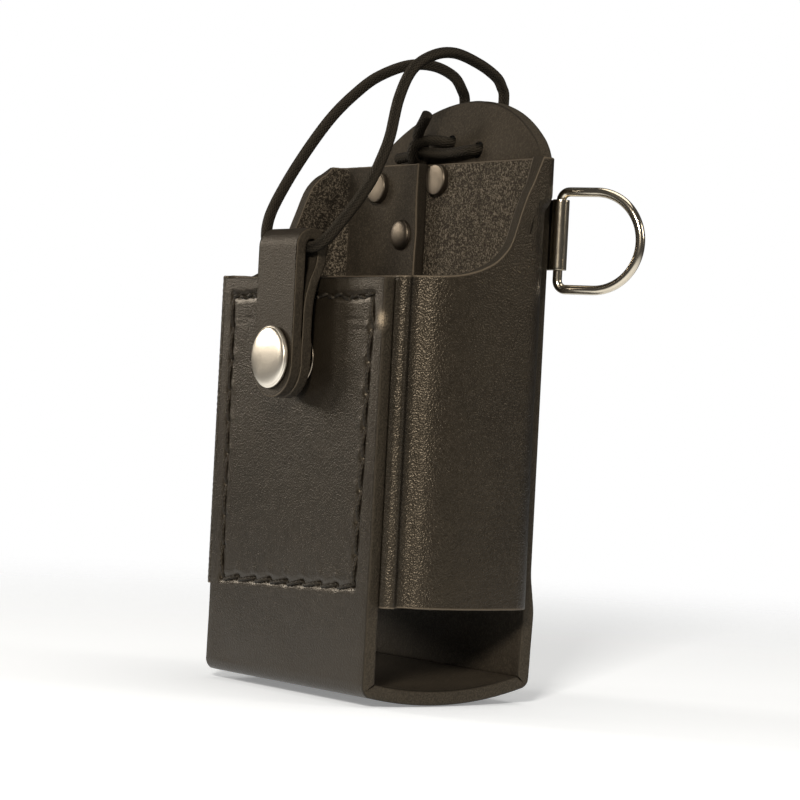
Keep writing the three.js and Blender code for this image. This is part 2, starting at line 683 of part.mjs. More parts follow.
// The ring's centreline in its own plane: a straight bar on the axis, two tight bends and a round bow.
function deePath() {
  const halfHeight = (deeInside + deeWire) / 2;
  const reach = deeReach - deeWire / 2;
  const path = new THREE.CurvePath();
  const corner = (x, y) => new THREE.Vector3(x, 0, y);
  const bar = halfHeight - deeBend;
  const bowRadius = halfHeight;
  const bowStart = reach - bowRadius;
  path.add(new THREE.LineCurve3(corner(0, -bar), corner(0, bar)));
  path.add(new THREE.QuadraticBezierCurve3(corner(0, bar), corner(0, halfHeight),
    corner(deeBend, halfHeight)));
  path.add(new THREE.LineCurve3(corner(deeBend, halfHeight), corner(bowStart, halfHeight)));
  const k = 0.5523 * bowRadius;
  path.add(new THREE.CubicBezierCurve3(corner(bowStart, halfHeight), corner(bowStart + k, halfHeight),
    corner(reach, k), corner(reach, 0)));
  path.add(new THREE.CubicBezierCurve3(corner(reach, 0), corner(reach, -k),
    corner(bowStart + k, -halfHeight), corner(bowStart, -halfHeight)));
  path.add(new THREE.LineCurve3(corner(bowStart, -halfHeight), corner(deeBend, -halfHeight)));
  path.add(new THREE.QuadraticBezierCurve3(corner(deeBend, -halfHeight), corner(0, -halfHeight),
    corner(0, -bar)));
  return path;
}

function wireRing() {
  const steps = 44;
  const path = deePath();
  const frames = [];
  for (let i = 0; i < steps; i += 1) {
    const along = path.getTangentAt(i / steps);
    frames.push({
      centre: path.getPointAt(i / steps),
      first: new THREE.Vector3(along.z, 0, -along.x),
      second: new THREE.Vector3(0, 1, 0),
    });
  }
  return closedTube(frames, deeWire, 8);
}

// The clip: sheet metal folded round the bar, its two legs flat behind the strap. Seen along Z.
function clipSection(side) {
  const outerRadius = clipClear + clipSheet;
  const shape = new THREE.Shape();
  const legEnd = -clipLeg;
  const outerStart = Math.asin((clipSlit + clipSheet) / outerRadius);
  const innerStart = Math.asin(clipSlit / clipClear);
  shape.moveTo(legEnd, clipSlit + clipSheet);
  shape.lineTo(legEnd, clipSlit);
  shape.absarc(0, 0, clipClear, Math.PI - innerStart, -Math.PI + innerStart, true);
  shape.lineTo(legEnd, -clipSlit);
  shape.lineTo(legEnd, -clipSlit - clipSheet);
  shape.absarc(0, 0, outerRadius, -Math.PI + outerStart, Math.PI - outerStart, false);
  shape.closePath();
  const extent = { depth: clipLength, bevelEnabled: false, curveSegments: 12 };
  const geometry = new THREE.ExtrudeGeometry(shape, extent);
  if (side < 0) geometry.rotateZ(Math.PI);
  return geometry.translate(side * deeBarX, legPlane, clipTop - clipLength);
}

function makeDees() {
  for (const side of [-1, 1]) {
    const word = side > 0 ? 'right' : 'left';
    const swing = THREE.MathUtils.degToRad(side > 0 ? deeSwing : 180 - deeSwing);
    const ring = wireRing().rotateZ(swing).translate(side * deeBarX, legPlane, deeHeight);
    place(`dee_ring_${word}`, ring, nickel);
    const pin = punch(side * clipPinX, clipMiddle, pinShank + 2 * gap, 0, caseDepth, 12);
    place(`dee_clip_${word}`, cut(clipSection(side), [pin]), nickel);
    // The clip's rivet: a flat head sunk in the strap's inner face and a rounded head over the legs.
    const inside = strapBackInner + 0.1;
    const length = legPlane + clipSlit + clipSheet + gap - inside;
    const shank = pinShank / 2;
    place(`dee_rivet_${word}`, turned([
      [0, -length - 1.2], [1.4, -length - 1.1], [2.4, -length - 0.7], [2.6, -length], [shank, -length],
      [shank, -0.7], [pinHead / 2, -0.6], [pinHead / 2, 0], [0, 0],
    ], side * clipPinX, inside, clipMiddle, 14), nickel);
  }
}

makeStrap();
makeWrap();
makeBeltLoop();
makeRivets();
makeTab();
makeSnap();
makeStitching();
makeElastic();
makeDees();

export default model;
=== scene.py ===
# %% [markdown]
# # A black leather radio case
# The case is a cradle strap that runs down the front, under the radio and up the back, with a second
# piece of leather wrapped round it as a body. This lesson builds its visible surfaces round a frame
# that is already fixed: the frame says where every part is and how it moves, and the surfaces here
# give it grain, cut edges, stitches and polished metal.

# %% Load the frame
import math

import bpy
import numpy as np
from mathutils import Matrix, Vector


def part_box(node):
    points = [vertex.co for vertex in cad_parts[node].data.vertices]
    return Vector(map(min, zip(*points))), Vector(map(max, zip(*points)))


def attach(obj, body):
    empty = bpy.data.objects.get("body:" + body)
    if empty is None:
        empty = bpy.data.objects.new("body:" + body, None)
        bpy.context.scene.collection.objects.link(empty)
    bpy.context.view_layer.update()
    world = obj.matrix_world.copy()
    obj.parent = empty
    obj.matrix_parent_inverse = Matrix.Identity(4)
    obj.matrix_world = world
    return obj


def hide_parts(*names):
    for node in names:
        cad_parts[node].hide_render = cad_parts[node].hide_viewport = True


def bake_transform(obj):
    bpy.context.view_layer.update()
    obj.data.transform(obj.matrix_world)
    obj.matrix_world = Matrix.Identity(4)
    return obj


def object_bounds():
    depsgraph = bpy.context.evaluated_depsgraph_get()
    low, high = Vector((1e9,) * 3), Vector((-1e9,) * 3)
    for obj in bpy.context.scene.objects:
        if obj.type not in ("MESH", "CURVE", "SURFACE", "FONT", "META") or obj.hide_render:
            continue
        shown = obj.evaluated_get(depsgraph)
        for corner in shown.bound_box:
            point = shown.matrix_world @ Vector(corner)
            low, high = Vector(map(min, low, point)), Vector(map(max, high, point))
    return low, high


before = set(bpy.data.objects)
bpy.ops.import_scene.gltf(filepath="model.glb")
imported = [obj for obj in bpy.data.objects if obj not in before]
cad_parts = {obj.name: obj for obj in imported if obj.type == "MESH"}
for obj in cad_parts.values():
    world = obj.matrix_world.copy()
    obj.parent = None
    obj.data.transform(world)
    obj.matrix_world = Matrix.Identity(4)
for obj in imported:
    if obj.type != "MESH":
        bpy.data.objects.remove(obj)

CAD_BOX = [list(map(float, corner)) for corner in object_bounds()]
print("CAD box", CAD_BOX)

# %% [markdown]
# ## Working units
# A leather worker measures a case in millimetres, up from the floor and out from the middle of its
# depth. Those are the working units here. The frame's own origin is where the belt bears, so one
# function turns working points into the frame's metres, and it takes its shift from the strap's box.

# %% Case measures
CASE_DEPTH = 50.8
STRAP_WIDTH = 72.0
STRAP_LEATHER = 3.7
WRAP_LEATHER = 3.3
GAP = 0.3
strap_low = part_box("cradle_strap")[0]
SHIFT = np.array([0.0, -strap_low[1] * 1000 - CASE_DEPTH / 2, -strap_low[2] * 1000])
FRONT_Y = -CASE_DEPTH / 2
BACK_Y = CASE_DEPTH / 2
HALF_STRAP = STRAP_WIDTH / 2


def metres(points):
    """Working millimetres to the frame's metres."""
    return (np.asarray(points, float) - SHIFT) / 1000


print("shift from the working origin, mm:", SHIFT.round(2))

# %% [markdown]
# ## The camera
# The case is looked at from its front right corner, level with its middle, through a long lens. The
# camera is rolled by three degrees, as a hand-held one is. Its axes are worked out from two angles.

# %% Camera
AZIMUTH = math.radians(54.037)
ELEVATION = math.radians(-0.099)
ROLL = math.radians(2.984)
DISTANCE = 0.745623
AIM = np.array([0.009799, 0.072341])  # the aim point's place across and up the picture plane
AIM_ZERO = np.array([0.0, -0.0254, -0.0765])
LENS = 129.86


def camera_axes():
    """Right, up and back: back points from the aim to the camera, and roll turns the other two."""
    back = np.array([math.sin(AZIMUTH) * math.cos(ELEVATION), -math.cos(AZIMUTH) * math.cos(ELEVATION),
                     math.sin(ELEVATION)])
    right = np.cross(-back, [0, 0, 1])
    right /= np.linalg.norm(right)
    up = np.cross(right, -back)
    rolled_right = math.cos(ROLL) * right + math.sin(ROLL) * up
    rolled_up = math.cos(ROLL) * up - math.sin(ROLL) * right
    return rolled_right, rolled_up, back


def set_axes(thing, right, up, back, place):
    """Turns and places a camera or lamp: its matrix holds the three axes and the place as columns."""
    matrix = Matrix.Identity(4)
    for row in range(3):
        matrix[row][0], matrix[row][1], matrix[row][2] = right[row], up[row], back[row]
        matrix[row][3] = place[row]
    thing.matrix_world = matrix


def make_camera():
    """The camera stands back from the aim point, which is moved across and up in the picture plane."""
    right, up, back = camera_axes()
    place = AIM_ZERO + right * AIM[0] + up * AIM[1] + back * DISTANCE
    data = bpy.data.cameras.new("camera")
    data.lens = LENS
    data.clip_end = 20
    camera = bpy.data.objects.new("camera", data)
    bpy.context.collection.objects.link(camera)
    set_axes(camera, right, up, back, place)
    bpy.context.scene.camera = camera
    print("camera at", place.round(4))


make_camera()

# %% [markdown]
# ## Shader maths as Python
# A finish is an expression: grain plus creases, times how far the surface is from a cut edge. A small
# class wraps a socket so that such an expression can be written as one, and each operator adds its
# Math node. One method makes every other kind of node.


# %% Socket arithmetic
class Value:
    """A number that varies over a surface, as the output of a node."""

    def __init__(self, graph, socket):
        self.graph = graph
        self.socket = socket

    def math(self, operation, *others, clamp=False):
        """A Math node that takes this value first."""
        inputs = dict(enumerate((self, *others)))
        return self.graph.node("ShaderNodeMath", {"operation": operation, "use_clamp": clamp}, inputs)

    def __add__(self, other):
        return self.math("ADD", other)

    def __sub__(self, other):
        return self.math("SUBTRACT", other)

    def __rsub__(self, other):
        return self.graph.node("ShaderNodeMath", {"operation": "SUBTRACT"}, {0: other, 1: self})

    def __mul__(self, other):
        return self.math("MULTIPLY", other)

    def __pow__(self, other):
        return self.math("POWER", other)

    __radd__ = __add__
    __rmul__ = __mul__

    def clamp(self):
        """The same value, held between 0 and 1."""
        return self.math("ADD", 0.0, clamp=True)

    def step(self, low, high):
        """0 below low, 1 above high, and a smooth rise between."""
        settings = {"interpolation_type": "SMOOTHSTEP"}
        return self.graph.node("ShaderNodeMapRange", settings, {0: self, 1: low, 2: high, 3: 0.0, 4: 1.0})


class Graph:
    """The node tree of a material or of the world, and the one method that adds nodes to it."""

    def __init__(self, owner):
        owner.use_nodes = True
        self.tree = owner.node_tree

    def node(self, kind, settings=None, inputs=None, output=0):
        """Adds a node: its settings first, then the value or link of each socket."""
        node = self.tree.nodes.new(kind)
        for key, value in (settings or {}).items():
            setattr(node, key, value)
        for key, value in (inputs or {}).items():
            self.feed(node.inputs[key], value)
        return Value(self, node.outputs[output])

    def feed(self, socket, value):
        """Links a socket to a value from another node, or sets it to a plain number or colour."""
        if isinstance(value, Value):
            self.tree.links.new(value.socket, socket)
        else:
            socket.default_value = value

    def first_two(self, vector):
        """A vector's first two numbers, as two values."""
        return [self.node("ShaderNodeSeparateXYZ", None, {0: vector}, axis) for axis in (0, 1)]


class Finish(Graph):
    """A material, with the few nodes that every finish here uses."""

    def __init__(self, name):
        self.material = bpy.data.materials.new(name)
        super().__init__(self.material)
        self.shader = self.tree.nodes["Principled BSDF"]
        self.place = self.node("ShaderNodeTexCoord", output="Object")

    def attribute(self, name):
        """A number that is stored on the mesh."""
        return self.node("ShaderNodeAttribute", {"attribute_name": name}, output="Fac")

    def noise(self, scale, detail=2.0, roughness=0.5, distortion=0.0, vector=None):
        """Cloudy noise about 0.5, with scale lumps to the metre."""
        inputs = {"Vector": vector or self.place, "Scale": scale, "Detail": detail,
                  "Roughness": roughness, "Distortion": distortion}
        return self.node("ShaderNodeTexNoise", None, inputs)

    def cells(self, scale, vector):
        """The smoothed distance to the nearest of a scatter of points, with scale points to the metre."""
        inputs = {"Vector": vector, "Scale": scale}
        return self.node("ShaderNodeTexVoronoi", {"feature": "SMOOTH_F1"}, inputs, "Distance")

    def stretched(self, factors):
        """The place, scaled along each axis, so that a pattern on it is drawn out."""
        return self.node("ShaderNodeMapping", None, {"Vector": self.place, "Scale": factors})

    def mix(self, first, second, factor):
        """A colour between two others."""
        inputs = {0: factor, 6: first, 7: second}
        return self.node("ShaderNodeMix", {"data_type": "RGBA"}, inputs, 2)

    def bump(self, height, distance):
        """A tilted normal: height is in units of distance, in metres."""
        return self.node("ShaderNodeBump", None, {"Height": height, "Distance": distance, "Strength": 1.0})

    def finish(self, **sockets):
        """Feeds the shader. A name's underscores stand for spaces."""
        for name, value in sockets.items():
            self.feed(self.shader.inputs[name.replace("_", " ")], value)
        return self.material


def colour(red, green, blue, shade=1.0):
    """An opaque colour, darkened or lightened by a shade."""
    return (red * shade, green * shade, blue * shade, 1.0)


# %% [markdown]
# ## Leather
# Vegetable-tanned belt leather dyed black has three faces. The grain is smooth and waxed, with
# pebbles under half a millimetre across. The cut edge is felted and grey-brown where the dye is thin. The
# flesh side is a nap of short fibres. All three are on one piece, so one finish reads three numbers
# stored on the mesh and blends between them: `rim` for the cut edge, `nap` for the flesh side, and
# `scuff` for a spot where the dye is worn off.


# %% Leather finish
WARM_GLOSS = (1.0, 0.86, 0.67, 1.0)


def leather(name, pebble, tone=(0.0105, 0.0082, 0.0055), painted_bevel_tone=(0.003, 0.0025, 0.002),
            edge_tone=(0.034, 0.028, 0.020), gloss=0.33):
    """pebble is the height of the grain, the bevel tone the colour painted along the bevel beside a cut
    edge (a painted highlight on the body, belt loop and tab, painted shade on the strap), and gloss
    the roughness of the grain face."""
    g = Finish(name)
    rim = g.attribute("rim")
    nap = g.attribute("nap")
    scuff = g.attribute("scuff")
    drift = g.node("ShaderNodeTexNoise", None, {"Vector": g.place, "Scale": 260.0}, "Color")
    drift = g.node("ShaderNodeVectorMath", {"operation": "SCALE"}, {0: drift, "Scale": 0.0006})
    warped = g.node("ShaderNodeVectorMath", {"operation": "ADD"}, {0: g.place, 1: drift})
    pebbles = g.cells(2500.0, warped)
    pores = g.noise(2600.0, 3.0, 0.62)
    folds = g.noise(520.0, 4.0, 0.6, 0.7)
    cloud = g.noise(38.0, 3.0, 0.55)
    felt = g.noise(2300.0, 4.0, 0.7)
    fibre = g.noise(2300.0, 4.0, 0.72, 0.4)
    tufts = g.noise(1150.0, 3.0, 0.65)

    flesh = nap.step(0.02, 0.35)
    grain_face = (1 - flesh) * (1 - rim)
    shade = (cloud * 0.7 + folds * 0.3).step(0.3, 0.72)
    face = g.mix(colour(*tone, shade=0.74), colour(*tone, shade=1.34), shade)
    speckle = (fibre * 0.62 + tufts * 0.38).step(0.455, 0.64)
    flesh_colour = g.mix(colour(0.0045, 0.0036, 0.0026), colour(0.155, 0.130, 0.099), speckle)
    dusted = (speckle * 0.62 + cloud.step(0.3, 0.7) * 0.5 - 0.06).clamp()
    smooth_flesh = g.mix(colour(0.0065, 0.0052, 0.0038), colour(0.036, 0.029, 0.021), dusted)
    inside = g.mix(smooth_flesh, flesh_colour, nap.step(0.3, 0.9))
    edge_fibre = (felt * 0.6 + fibre * 0.4).step(0.4, 0.62)
    edge = g.mix(colour(*edge_tone, shade=0.30), colour(*edge_tone), edge_fibre)
    body = g.mix(face, inside, flesh)
    # The bevel line is painted light: a pale tone paints a highlight along every bevel of the body, belt loop
    # and tab, and the strap's dark tone paints a shade line there.
    line = rim.step(0.04, 0.2) * (1 - rim.step(0.6, 0.95))
    body = g.mix(body, edge, rim.step(0.6, 1.0))
    body = g.mix(body, colour(*painted_bevel_tone), line)
    body = g.mix(body, colour(0.30, 0.245, 0.175), (scuff * 1.6 * felt.step(0.34, 0.58)).clamp())

    height = (pebbles.step(0.0, 0.7) * -0.8 * pebble + pores * 0.16 + folds * 0.14) * grain_face
    height = height + (fibre * 1.5 + tufts * 1.1) * flesh * (nap * 0.92 + 0.08) * (1 - rim)
    height = height + felt * rim * 1.1
    roughness = gloss + (folds - 0.5) * 0.18 + pebbles * 0.10 * pebble
    roughness = roughness * (1 - flesh) + flesh * 0.78
    roughness = roughness * (1 - rim) + rim * 0.66
    return g.finish(Base_Color=body, Roughness=roughness.clamp(), Specular_IOR_Level=0.44,
                    Specular_Tint=WARM_GLOSS, Normal=g.bump(height, 0.00022))


# The bevel tones paint light: painted shade on the strap, painted highlights on the body, belt loop and tab.
case_leather = leather("strap_grain", pebble=0.22)
wrap_hide = leather("wrap_grain", pebble=0.5, painted_bevel_tone=(0.075, 0.060, 0.043),
                    edge_tone=(0.014, 0.0112, 0.008))
tab_hide = leather("tab_grain", pebble=0.26, tone=(0.0090, 0.0070, 0.0047), painted_bevel_tone=(0.060, 0.048, 0.034),
                   gloss=0.52, edge_tone=(0.026, 0.021, 0.015))
print("leather finishes:", case_leather.name, wrap_hide.name, tab_hide.name)

# %% [markdown]
# ## Metal
# Nickel plate is warm and mirror-like, and rubbed dull in fine patches. A noise could stain its colour
# alone, but wear shows in the gloss first, so the same patches raise the roughness.


# %% Metal
def nickel(name, tone, gloss, scratch=1.0):
    """Plated metal: gloss is the roughness of the clean plate."""
    g = Finish(name)
    haze = g.noise(180.0, 3.0, 0.6).step(0.35, 0.8)
    fine = g.noise(2600.0, 3.0, 0.7, vector=g.stretched((1.0, 1.0, 0.12)))
    worn = g.mix(colour(*tone), colour(*tone, shade=0.8), haze * 0.6)
    roughness = gloss + haze * 0.07 * scratch + (fine - 0.5) * 0.06 * scratch
    return g.finish(Base_Color=worn, Metallic=1.0, Roughness=roughness.clamp(),
                    Normal=g.bump(fine * scratch, 0.000006))


bright_nickel = nickel("bright_nickel", (0.70, 0.63, 0.51), 0.15)
cap_nickel = nickel("cap_nickel", (0.93, 0.86, 0.74), 0.30, 0.8)
rivet_nickel = nickel("rivet_nickel", (0.115, 0.096, 0.074), 0.38, 1.6)
dark_nickel = nickel("dark_nickel", (0.34, 0.29, 0.23), 0.26)
print("metal finishes:", bright_nickel.name, cap_nickel.name, rivet_nickel.name, dark_nickel.name)

# %% [markdown]
# ## Thread and elastic
# Waxed thread is a twist of plies, matt with a few waxy spots. The elastic is a rubber core in a
# braided sleeve, whose crossing yarns run round it at an angle. A pattern in the place alone would
# slide off a bent cord, so this one follows the cord's own length and girth in a UV map.


# %% Thread and braid
def thread_finish():
    """Black thread: wax lightens it in spots, and fuzz roughens its surface."""
    g = Finish("waxed_thread")
    wax = g.noise(900.0, 3.0, 0.6)
    body = g.mix(colour(0.004, 0.0034, 0.0027), colour(0.015, 0.012, 0.009), wax.step(0.4, 0.75))
    fuzz = g.noise(6000.0, 2.0, 0.6)
    return g.finish(Base_Color=body, Roughness=(0.5 + (wax - 0.5) * 0.3).clamp(), Specular_IOR_Level=0.3,
                    Specular_Tint=WARM_GLOSS, Normal=g.bump(fuzz, 0.00008))


YARNS = 12  # yarns that wind each way round the cord
YARN_LAY = 7  # how many yarns round the pattern winds in a girth of length


def braid_finish():
    """Yarns cross at the two signs of one angle, and pale streaks along the cord are painted highlights.
    U is girth and V is length in girths.
    """
    g = Finish("braided_elastic")
    girth, length = g.first_two(g.node("ShaderNodeUVMap", {"uv_map": "UVMap"}, output="UV"))
    turn = 2 * math.pi
    one = (girth * (turn * YARNS) + length * (turn * YARN_LAY)).math("SINE")
    two = (girth * (turn * YARNS) - length * (turn * YARN_LAY)).math("SINE")
    yarns = one.math("MAXIMUM", two)
    # Four pale streaks along the cord are painted highlights, mixed with the yarns into the colour.
    highlight_streak = (girth * (turn * 4)).math("SINE") * 0.5 + g.noise(1500.0, 2.0, 0.6)
    pale = (yarns * 0.25 + highlight_streak * 0.75 - 0.15).clamp()
    body = g.mix(colour(0.0015, 0.0013, 0.001), colour(0.020, 0.017, 0.013), pale)
    return g.finish(Base_Color=body, Roughness=(0.6 + highlight_streak * 0.2).clamp(), Specular_IOR_Level=0.3,
                    Specular_Tint=WARM_GLOSS, Normal=g.bump(yarns, 0.00012))


waxed_thread = thread_finish()
braid = braid_finish()
print("cord finishes:", waxed_thread.name, braid.name)

# %% [markdown]
# ## Surfaces from arrays
# Every piece is a grid of points worked out at once. A grid's quads come from its row and column
# numbers, and a closed mesh is turned the right way out by the sign of its volume.


# %% Mesh helpers
def grid_faces(rows, columns, close_rows=False, close_columns=False):
    """Quads that join each point of a rows by columns grid to the next along both."""
    r = np.arange(rows if close_rows else rows - 1)[:, None]
    c = np.arange(columns if close_columns else columns - 1)[None, :]
    a = r * columns + c
    b = r * columns + (c + 1) % columns
    d = ((r + 1) % rows) * columns + c
    e = ((r + 1) % rows) * columns + (c + 1) % columns
    return np.stack([a, b, e, d], -1).reshape(-1, 4)


def volume(points, quads):
    """Six times the signed volume: the sum of the triple products of each face's triangles."""
    a, b, c, d = (points[quads[:, k]] for k in range(4))
    return np.einsum("ij,ij->", a, np.cross(b, c)) + np.einsum("ij,ij->", a, np.cross(c, d))


def end_fans(rows, sides):
    """Quads that close a tube's two ends on the two points that follow its rows: each quad spans two
    sides, so a tube needs an even number of them."""
    j = np.arange(0, sides, 2)
    after, beyond = (j + 1) % sides, (j + 2) % sides
    base, last = rows * sides, (rows - 1) * sides
    return [np.stack([np.full(len(j), base), beyond, after, j], 1),
            np.stack([np.full(len(j), base + 1), last + j, last + after, last + beyond], 1)]


def make_piece(name, points, quads, material, slot, body, nodes=(), attributes=None, uv=None, sharp=None):
    """A mesh piece from working points and quads, smooth, facing outwards, riding on a body."""
    points = np.asarray(points, float).reshape(-1, 3)
    if volume(points, quads) < 0:
        quads = quads[:, ::-1]
    mesh = bpy.data.meshes.new(name)
    mesh.from_pydata(metres(points).tolist(), [], quads.tolist())
    mesh.shade_smooth()
    if sharp is not None:
        mesh.set_sharp_from_angle(angle=math.radians(sharp))
    for key, values in (attributes or {}).items():
        layer = mesh.attributes.new(key, "FLOAT", "POINT")
        layer.data.foreach_set("value", np.asarray(values, np.float32).ravel())
    if uv is not None:
        layer = mesh.uv_layers.new(name="UVMap")
        corners = uv(mesh)
        layer.data.foreach_set("uv", corners.astype(np.float32).ravel())
    mesh.materials.append(material)
    piece = bpy.data.objects.new(name, mesh)
    bpy.context.collection.objects.link(piece)
    if body:
        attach(piece, body)
    if nodes:
        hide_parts(*nodes)
    print(f"{name}: {len(mesh.vertices)} points, {len(mesh.polygons)} faces")
    return piece


def unit(vectors):
    """Vectors over their own lengths."""
    return vectors / np.maximum(np.linalg.norm(vectors, axis=-1, keepdims=True), 1e-12)


def sheet_grid(x, profile):
    """A profile of depth and height, repeated at each x: a grid with the profile's points as rows."""
    rows = len(profile)
    return np.stack([np.repeat(x[None], rows, 0), np.repeat(profile[:, :1], len(x), 1),
                     np.repeat(profile[:, 1:], len(x), 1)], -1)


def catmull(points, shares):
    """A uniform Catmull-Rom curve through points, at shares from 0 to 1 of its spans."""
    p = np.asarray(points, float)
    spans = len(p) - 1
    at = np.clip(np.asarray(shares, float), 0, 1) * spans
    k = np.minimum(at.astype(int), spans - 1)
    t = (at - k)[:, None]
    padded = np.vstack([2 * p[0] - p[1], p, 2 * p[-1] - p[-2]])
    a, b, c, d = padded[k], padded[k + 1], padded[k + 2], padded[k + 3]
    return 0.5 * (2 * b + (c - a) * t + (2 * a - 5 * b + 4 * c - d) * t**2 + (3 * b - a - 3 * c + d) * t**3)


def eased(x, xs, ys):
    """A cubic Hermite curve through (xs, ys), with the mean of its neighbours' slopes at each point."""
    xs, ys = np.asarray(xs, float), np.asarray(ys, float)
    slopes = np.gradient(ys, xs)
    x = np.clip(x, xs[0], xs[-1])
    k = np.clip(np.searchsorted(xs, x, side="right") - 1, 0, len(xs) - 2)
    width = xs[k + 1] - xs[k]
    t = (x - xs[k]) / width
    start = (1 + 2 * t) * (1 - t) ** 2 * ys[k] + t * (1 - t) ** 2 * width * slopes[k]
    return start + t**2 * (3 - 2 * t) * ys[k + 1] + t**2 * (t - 1) * width * slopes[k + 1]


def even(points, step, closed=False):
    """The same polyline with points a step apart, by its running length."""
    p = np.asarray(points, float)
    if closed:
        p = np.vstack([p, p[:1]])
    run = np.concatenate([[0], np.cumsum(np.linalg.norm(np.diff(p, axis=0), axis=1))])
    count = max(int(round(run[-1] / step)), 2)
    at = np.linspace(0, run[-1], count + 1)
    if closed:
        at = at[:-1]
    return np.stack([np.interp(at, run, p[:, k]) for k in range(p.shape[1])], 1)


def smooth_noise(points, size, seed):
    """Value noise: random numbers on a cubic lattice, blended by smoothstep weights in each cell."""
    side = 24  # the lattice repeats after this many cells
    table = np.random.default_rng(seed).uniform(-1, 1, (side, side, side))
    scaled = np.asarray(points, float) / size
    base = np.floor(scaled).astype(int)
    part = scaled - base
    part = part * part * (3 - 2 * part)
    total = 0.0
    for corner in np.ndindex(2, 2, 2):
        weight = np.prod(np.where(corner, part, 1 - part), axis=-1)
        index = (base + corner) % side
        total = total + weight * table[index[..., 0], index[..., 1], index[..., 2]]
    return total


def bell(distance, width):
    """1 at nothing, falling smoothly to almost 0 at twice the width."""
    return np.exp(-((distance / width) ** 2))


# %% [markdown]
# ## The elastic cord
# One cord holds the radio in: it is knotted on the head's front, goes through two holes, bends over
# the head and runs down through the tab. Its route is a list of given points, on a smooth curve. The
# loop swings on a joint where it bends over the head; the long run is made as one piece in place, and
# the two knotted ends are pieces that stay on the head.

# %% Cord route
CORD = 2.9
HINGE = np.array([0.0, 31.15, 157.0])  # on the axis that the loop swings about
BEND = 1.7  # how far the strands stand off the hinge
left_tail = [[-4, 24, 143.6], [-4, 26.6, 143.7], [-4.1, 28.3, 144.2], [-4.9, 29.1, 145.9], [-7.4, 29.7, 149],
             [-9.6, 30.8, 153], [-10.4, HINGE[1], HINGE[2] - 0.3]]
left_strand = [[-10.4, HINGE[1] - 0.45 * BEND, HINGE[2] + 0.9 * BEND], [-10.6, 27.4, 162.2],
               [-10.8, 20.7, 164.3], [-11.1, 12.4, 163.6], [-11.4, 3.1, 159.6], [-11.7, -3.7, 154.4],
               [-12, -10.4, 147.7], [-12.3, -17.1, 138.8], [-12.6, -23.2, 129.2], [-12.9, -27.2, 121.2],
               [-12.4, -28.5, 115.6], [-9.8, -28.9, 112.7]]
eye_span = [[-5, -28.85, 112.4], [0.8, -28.85, 112.4], [6.6, -28.85, 112.4]]
right_strand = [[10.9, -28.8, 112.5], [13.7, -27.4, 114.6], [14.2, -24.6, 118], [13.6, -20.8, 122],
                [13, -17.3, 126], [12.6, -14, 130.5], [12.2, -11, 136.1], [11.8, -8.5, 142],
                [10.8, -5.6, 152], [10, -1.2, 159.8], [9, 6, 164.3], [8.4, 13.4, 165.6], [7.6, 22.1, 163.7],
                [7, 28.2, 161], [6.7, HINGE[1] - 0.45 * BEND, HINGE[2] + 0.9 * BEND]]
right_tail = [[6.7, HINGE[1], HINGE[2] - 0.3], [7.3, 30.6, 152], [8.3, 29.4, 147.4], [8.5, 28.6, 143.6],
              [8.5, 27.7, 141.9], [8.5, 26, 141.4], [8.5, 24, 141.4]]
short_run = [[8.5, 23.4, 141.4], [8.4, 21.1, 141.3], [6.5, 20.1, 141.1], [2, 19.8, 140.7],
             [-3, 19.4, 140.6], [-7, 18.5, 140.9], [-10, 18.0, 141.1], [-13, 18.2, 140.9],
             [-16.5, 19.0, 140.6], [-20, 19.5, 140.3], [-23.2, 19.6, 140.1]]
upper_run = [[-4, 23.4, 143.6], [-4.4, 21.2, 143.9], [-6.6, 19.8, 144.3], [-9.2, 17.9, 144.1],
             [-10.4, 15.3, 142.4], [-11.2, 15.6, 139.4], [-12.1, 18.0, 137.9], [-12.8, 20.5, 139.6],
             [-12.9, 20.4, 142.6], [-12.0, 18.1, 144.3], [-10.4, 16.4, 145.3], [-8.6, 15.7, 147.2],
             [-6.4, 15.2, 149.0], [-4.6, 14.8, 150.6]]


def curve_through(points, step=0.55):
    """Points a step apart on a smooth curve through the given ones."""
    dense = catmull(points, np.linspace(0, 1, len(points) * 24))
    return even(dense, step)


def carried_frames(path):
    """Two directions across a path at each point, carried along it so that they don't twist. Each one
    is the one before, less its part along the path, so this is the one loop that goes point by point."""
    along = unit(np.gradient(path, axis=0))
    first = np.zeros_like(path)
    first[0] = unit(np.cross(along[0], [0.3, 0.2, 1.0]))
    for i in range(1, len(path)):
        carried = first[i - 1] - along[i] * (first[i - 1] @ along[i])
        first[i] = carried / np.linalg.norm(carried)
    return first, np.cross(along, first), along


CAP_ROWS = 4  # rows that round each end of a tube


